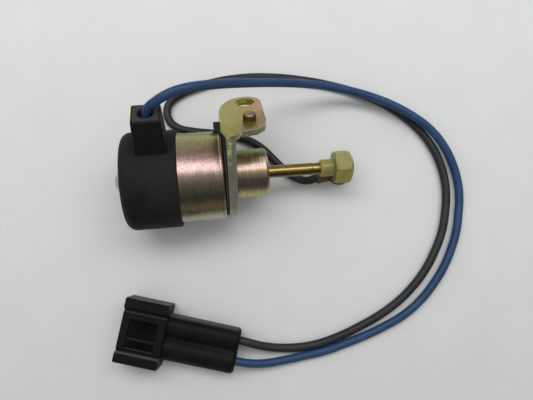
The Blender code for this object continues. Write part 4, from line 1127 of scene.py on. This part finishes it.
# %% The dark pad in the head's end
# The third colour is a painted sheen on the pad's faces towards the lamp.
PAD_COLOURS = ((0.03, 0.028, 0.008), (0.06, 0.055, 0.018), (0.040, 0.038, 0.037))
pad_rubber = matt_black(
    "pad_rubber",
    PAD_COLOURS,
    roughness=0.5,
    grain=500.0,
    strength=0.2,
    sheen=0.2,
    dust_and_sheen_way=LAMP_WAY,
    dust_and_sheen_from=0.9,
)
pad = refined_copy("tip_pad", "end_pad", 0.1)
finish_piece(pad, pad_rubber, "pad", "adjuster", "tip_pad")

# %% [markdown]
# ## The connector
# The housing is moulded in one shot: a block with a socket and a window, two rails, and two round barrels
# that the leads enter through rubber seals. Crisp moulded edges with a tiny rounding separate it from
# rubber. The black lead's brass ring gets its rounded edges here too.

# %% Round the housing's edges
housing = refined_copy("connector_housing", "moulded_housing", 0.14)
finish_piece(housing, housing_plastic, "connector", "solenoid", "connector_housing")
ring = refined_copy("ring_terminal", "crimped_ring", 0.08)
finish_piece(ring, dull_brass, "brass", "solenoid", "ring_terminal")

# %% [markdown]
# ## Finishes for the pieces that stay
# What is inside the can, and what is too small to need rounding, keeps its solid and only changes
# its finish. Each finish is still a small node tree, so a section or an exploded view looks right too.


# %% Simple finishes by material slot
def quiet_finish(name, dark, light, roughness, metallic=0.0, scale=300.0):
    finish, tree, shader = new_finish(name, roughness, metallic)
    where = piece_coordinates(tree)
    grain = mottling(tree, where, scale, 4.0)
    tree.links.new(colour_ramp(tree, grain, ((0.3, dark), (0.7, light))), shader.inputs["Base Color"])
    relief(tree, shader, mottling(tree, where, scale * 4), 0.3, 0.00005)
    return finish


kept_finishes = {
    "steel": turned_steel,
    "brass": terminal_brass,
    "rubber": boot_rubber,
    "copper": quiet_finish("enamelled_wire", (0.50, 0.20, 0.09), (0.70, 0.34, 0.18), 0.32, 1.0, 900.0),
    "card": quiet_finish("gasket_card", (0.018, 0.018, 0.018), (0.040, 0.038, 0.036), 0.8, 0.0, 500.0),
    "tape": quiet_finish("coil_tape", (0.42, 0.30, 0.09), (0.60, 0.46, 0.17), 0.6, 0.0, 400.0),
    "bobbin": quiet_finish("bobbin_plastic", (0.60, 0.58, 0.50), (0.74, 0.72, 0.64), 0.5),
    "felt": quiet_finish("bumper_felt", (0.22, 0.19, 0.14), (0.38, 0.34, 0.27), 0.95, 0.0, 800.0),
}
slot_of = {entry["node"]: entry["material_slot"] for entry in frame["record"]["subparts"]}
kept = 0
for node, solid in frame["nodes"].items():
    if not solid.hide_render:
        solid.data.materials.clear()
        solid.data.materials.append(kept_finishes[slot_of[node]])
        kept += 1
print("solids kept with a new finish:", kept)

# %% [markdown]
# A lead is flexible.
# The blue lead leaves the boot's lug and ends in the connector. The black one leaves the connector and ends
# in a ring.

# %% Where the leads run
print("both leads laid")

# %% [markdown]
# ## Bench and light
# The bench is a plain pale sheet, a touch brighter on the lamp's side. One long strip lamp hangs on the
# far side, so the shadows fall soft and short towards the viewer. The sky is a plain room: bright
# overhead and darker low down on the viewer's side, which gives polished metal something to mirror.

# %% Lay the bench
DIM_FROM = -90.0
BRIGHT_FROM = 60.0
start_fresh()
bpy.ops.mesh.primitive_plane_add(size=3.0, location=(0, 0, 0))
bench = bpy.context.object
bench.name = "bench"
bench_finish, tree, shader = new_finish("bench_paint", 0.6)
grain = mottling(tree, piece_coordinates(tree), 60.0)
pale = colour_ramp(tree, grain, ((0.3, (0.675, 0.68, 0.675)), (0.7, (0.70, 0.705, 0.70))))
depth = add_node(tree, "SeparateXYZ", {"Vector": piece_coordinates(tree)}).outputs["Y"]
lit_side = above(tree, depth, DIM_FROM, BRIGHT_FROM)
shade = colour_ramp(tree, lit_side, ((0.0, (0.85, 0.85, 0.85)), (1.0, WHITE)))
pale = mix_colour(tree, 1.0, pale, shade, "MULTIPLY")
tree.links.new(pale, shader.inputs["Base Color"])
bench.data.materials.append(bench_finish)
print("bench laid")

# %% Hang the strip lamp
LAMP_PLACE = Vector((0.04, 0.27, 0.68))
LAMP_TARGET = Vector((0.02, 0.0, 0.0))
strip = bpy.data.lights.new("strip_lamp", "AREA")
strip.shape = "RECTANGLE"
strip.size = 1.1
strip.size_y = 0.26
strip.energy = 3.6
lamp = bpy.data.objects.new("strip_lamp", strip)
scene.collection.objects.link(lamp)
lamp.location = LAMP_PLACE
lamp.rotation_euler = (LAMP_TARGET - LAMP_PLACE).to_track_quat("-Z", "Y").to_euler()
print("lamp hangs at", round(LAMP_PLACE.z, 2), "m")

# %% Set the sky
SKY_UP = (0.0, 0.45, 0.9)
SKY_DARK = 0.25
SKY_BRIGHT = 0.62
world = bpy.data.worlds.new("sky")
scene.world = world
world.use_nodes = True
sky = world.node_tree
tipped = dot_with(sky, add_node(sky, "TexCoord").outputs["Generated"], SKY_UP)
level = add_node(
    sky,
    "MapRange",
    {"Value": tipped, "From Min": -0.1, "From Max": 0.75, "To Min": SKY_DARK, "To Max": SKY_BRIGHT},
)
room = sky.nodes["Background"]
room.inputs["Color"].default_value = (*WHITE, 1.0)
sky.links.new(level.outputs[0], room.inputs["Strength"])
scene.view_settings.view_transform = "Standard"
print("sky set")
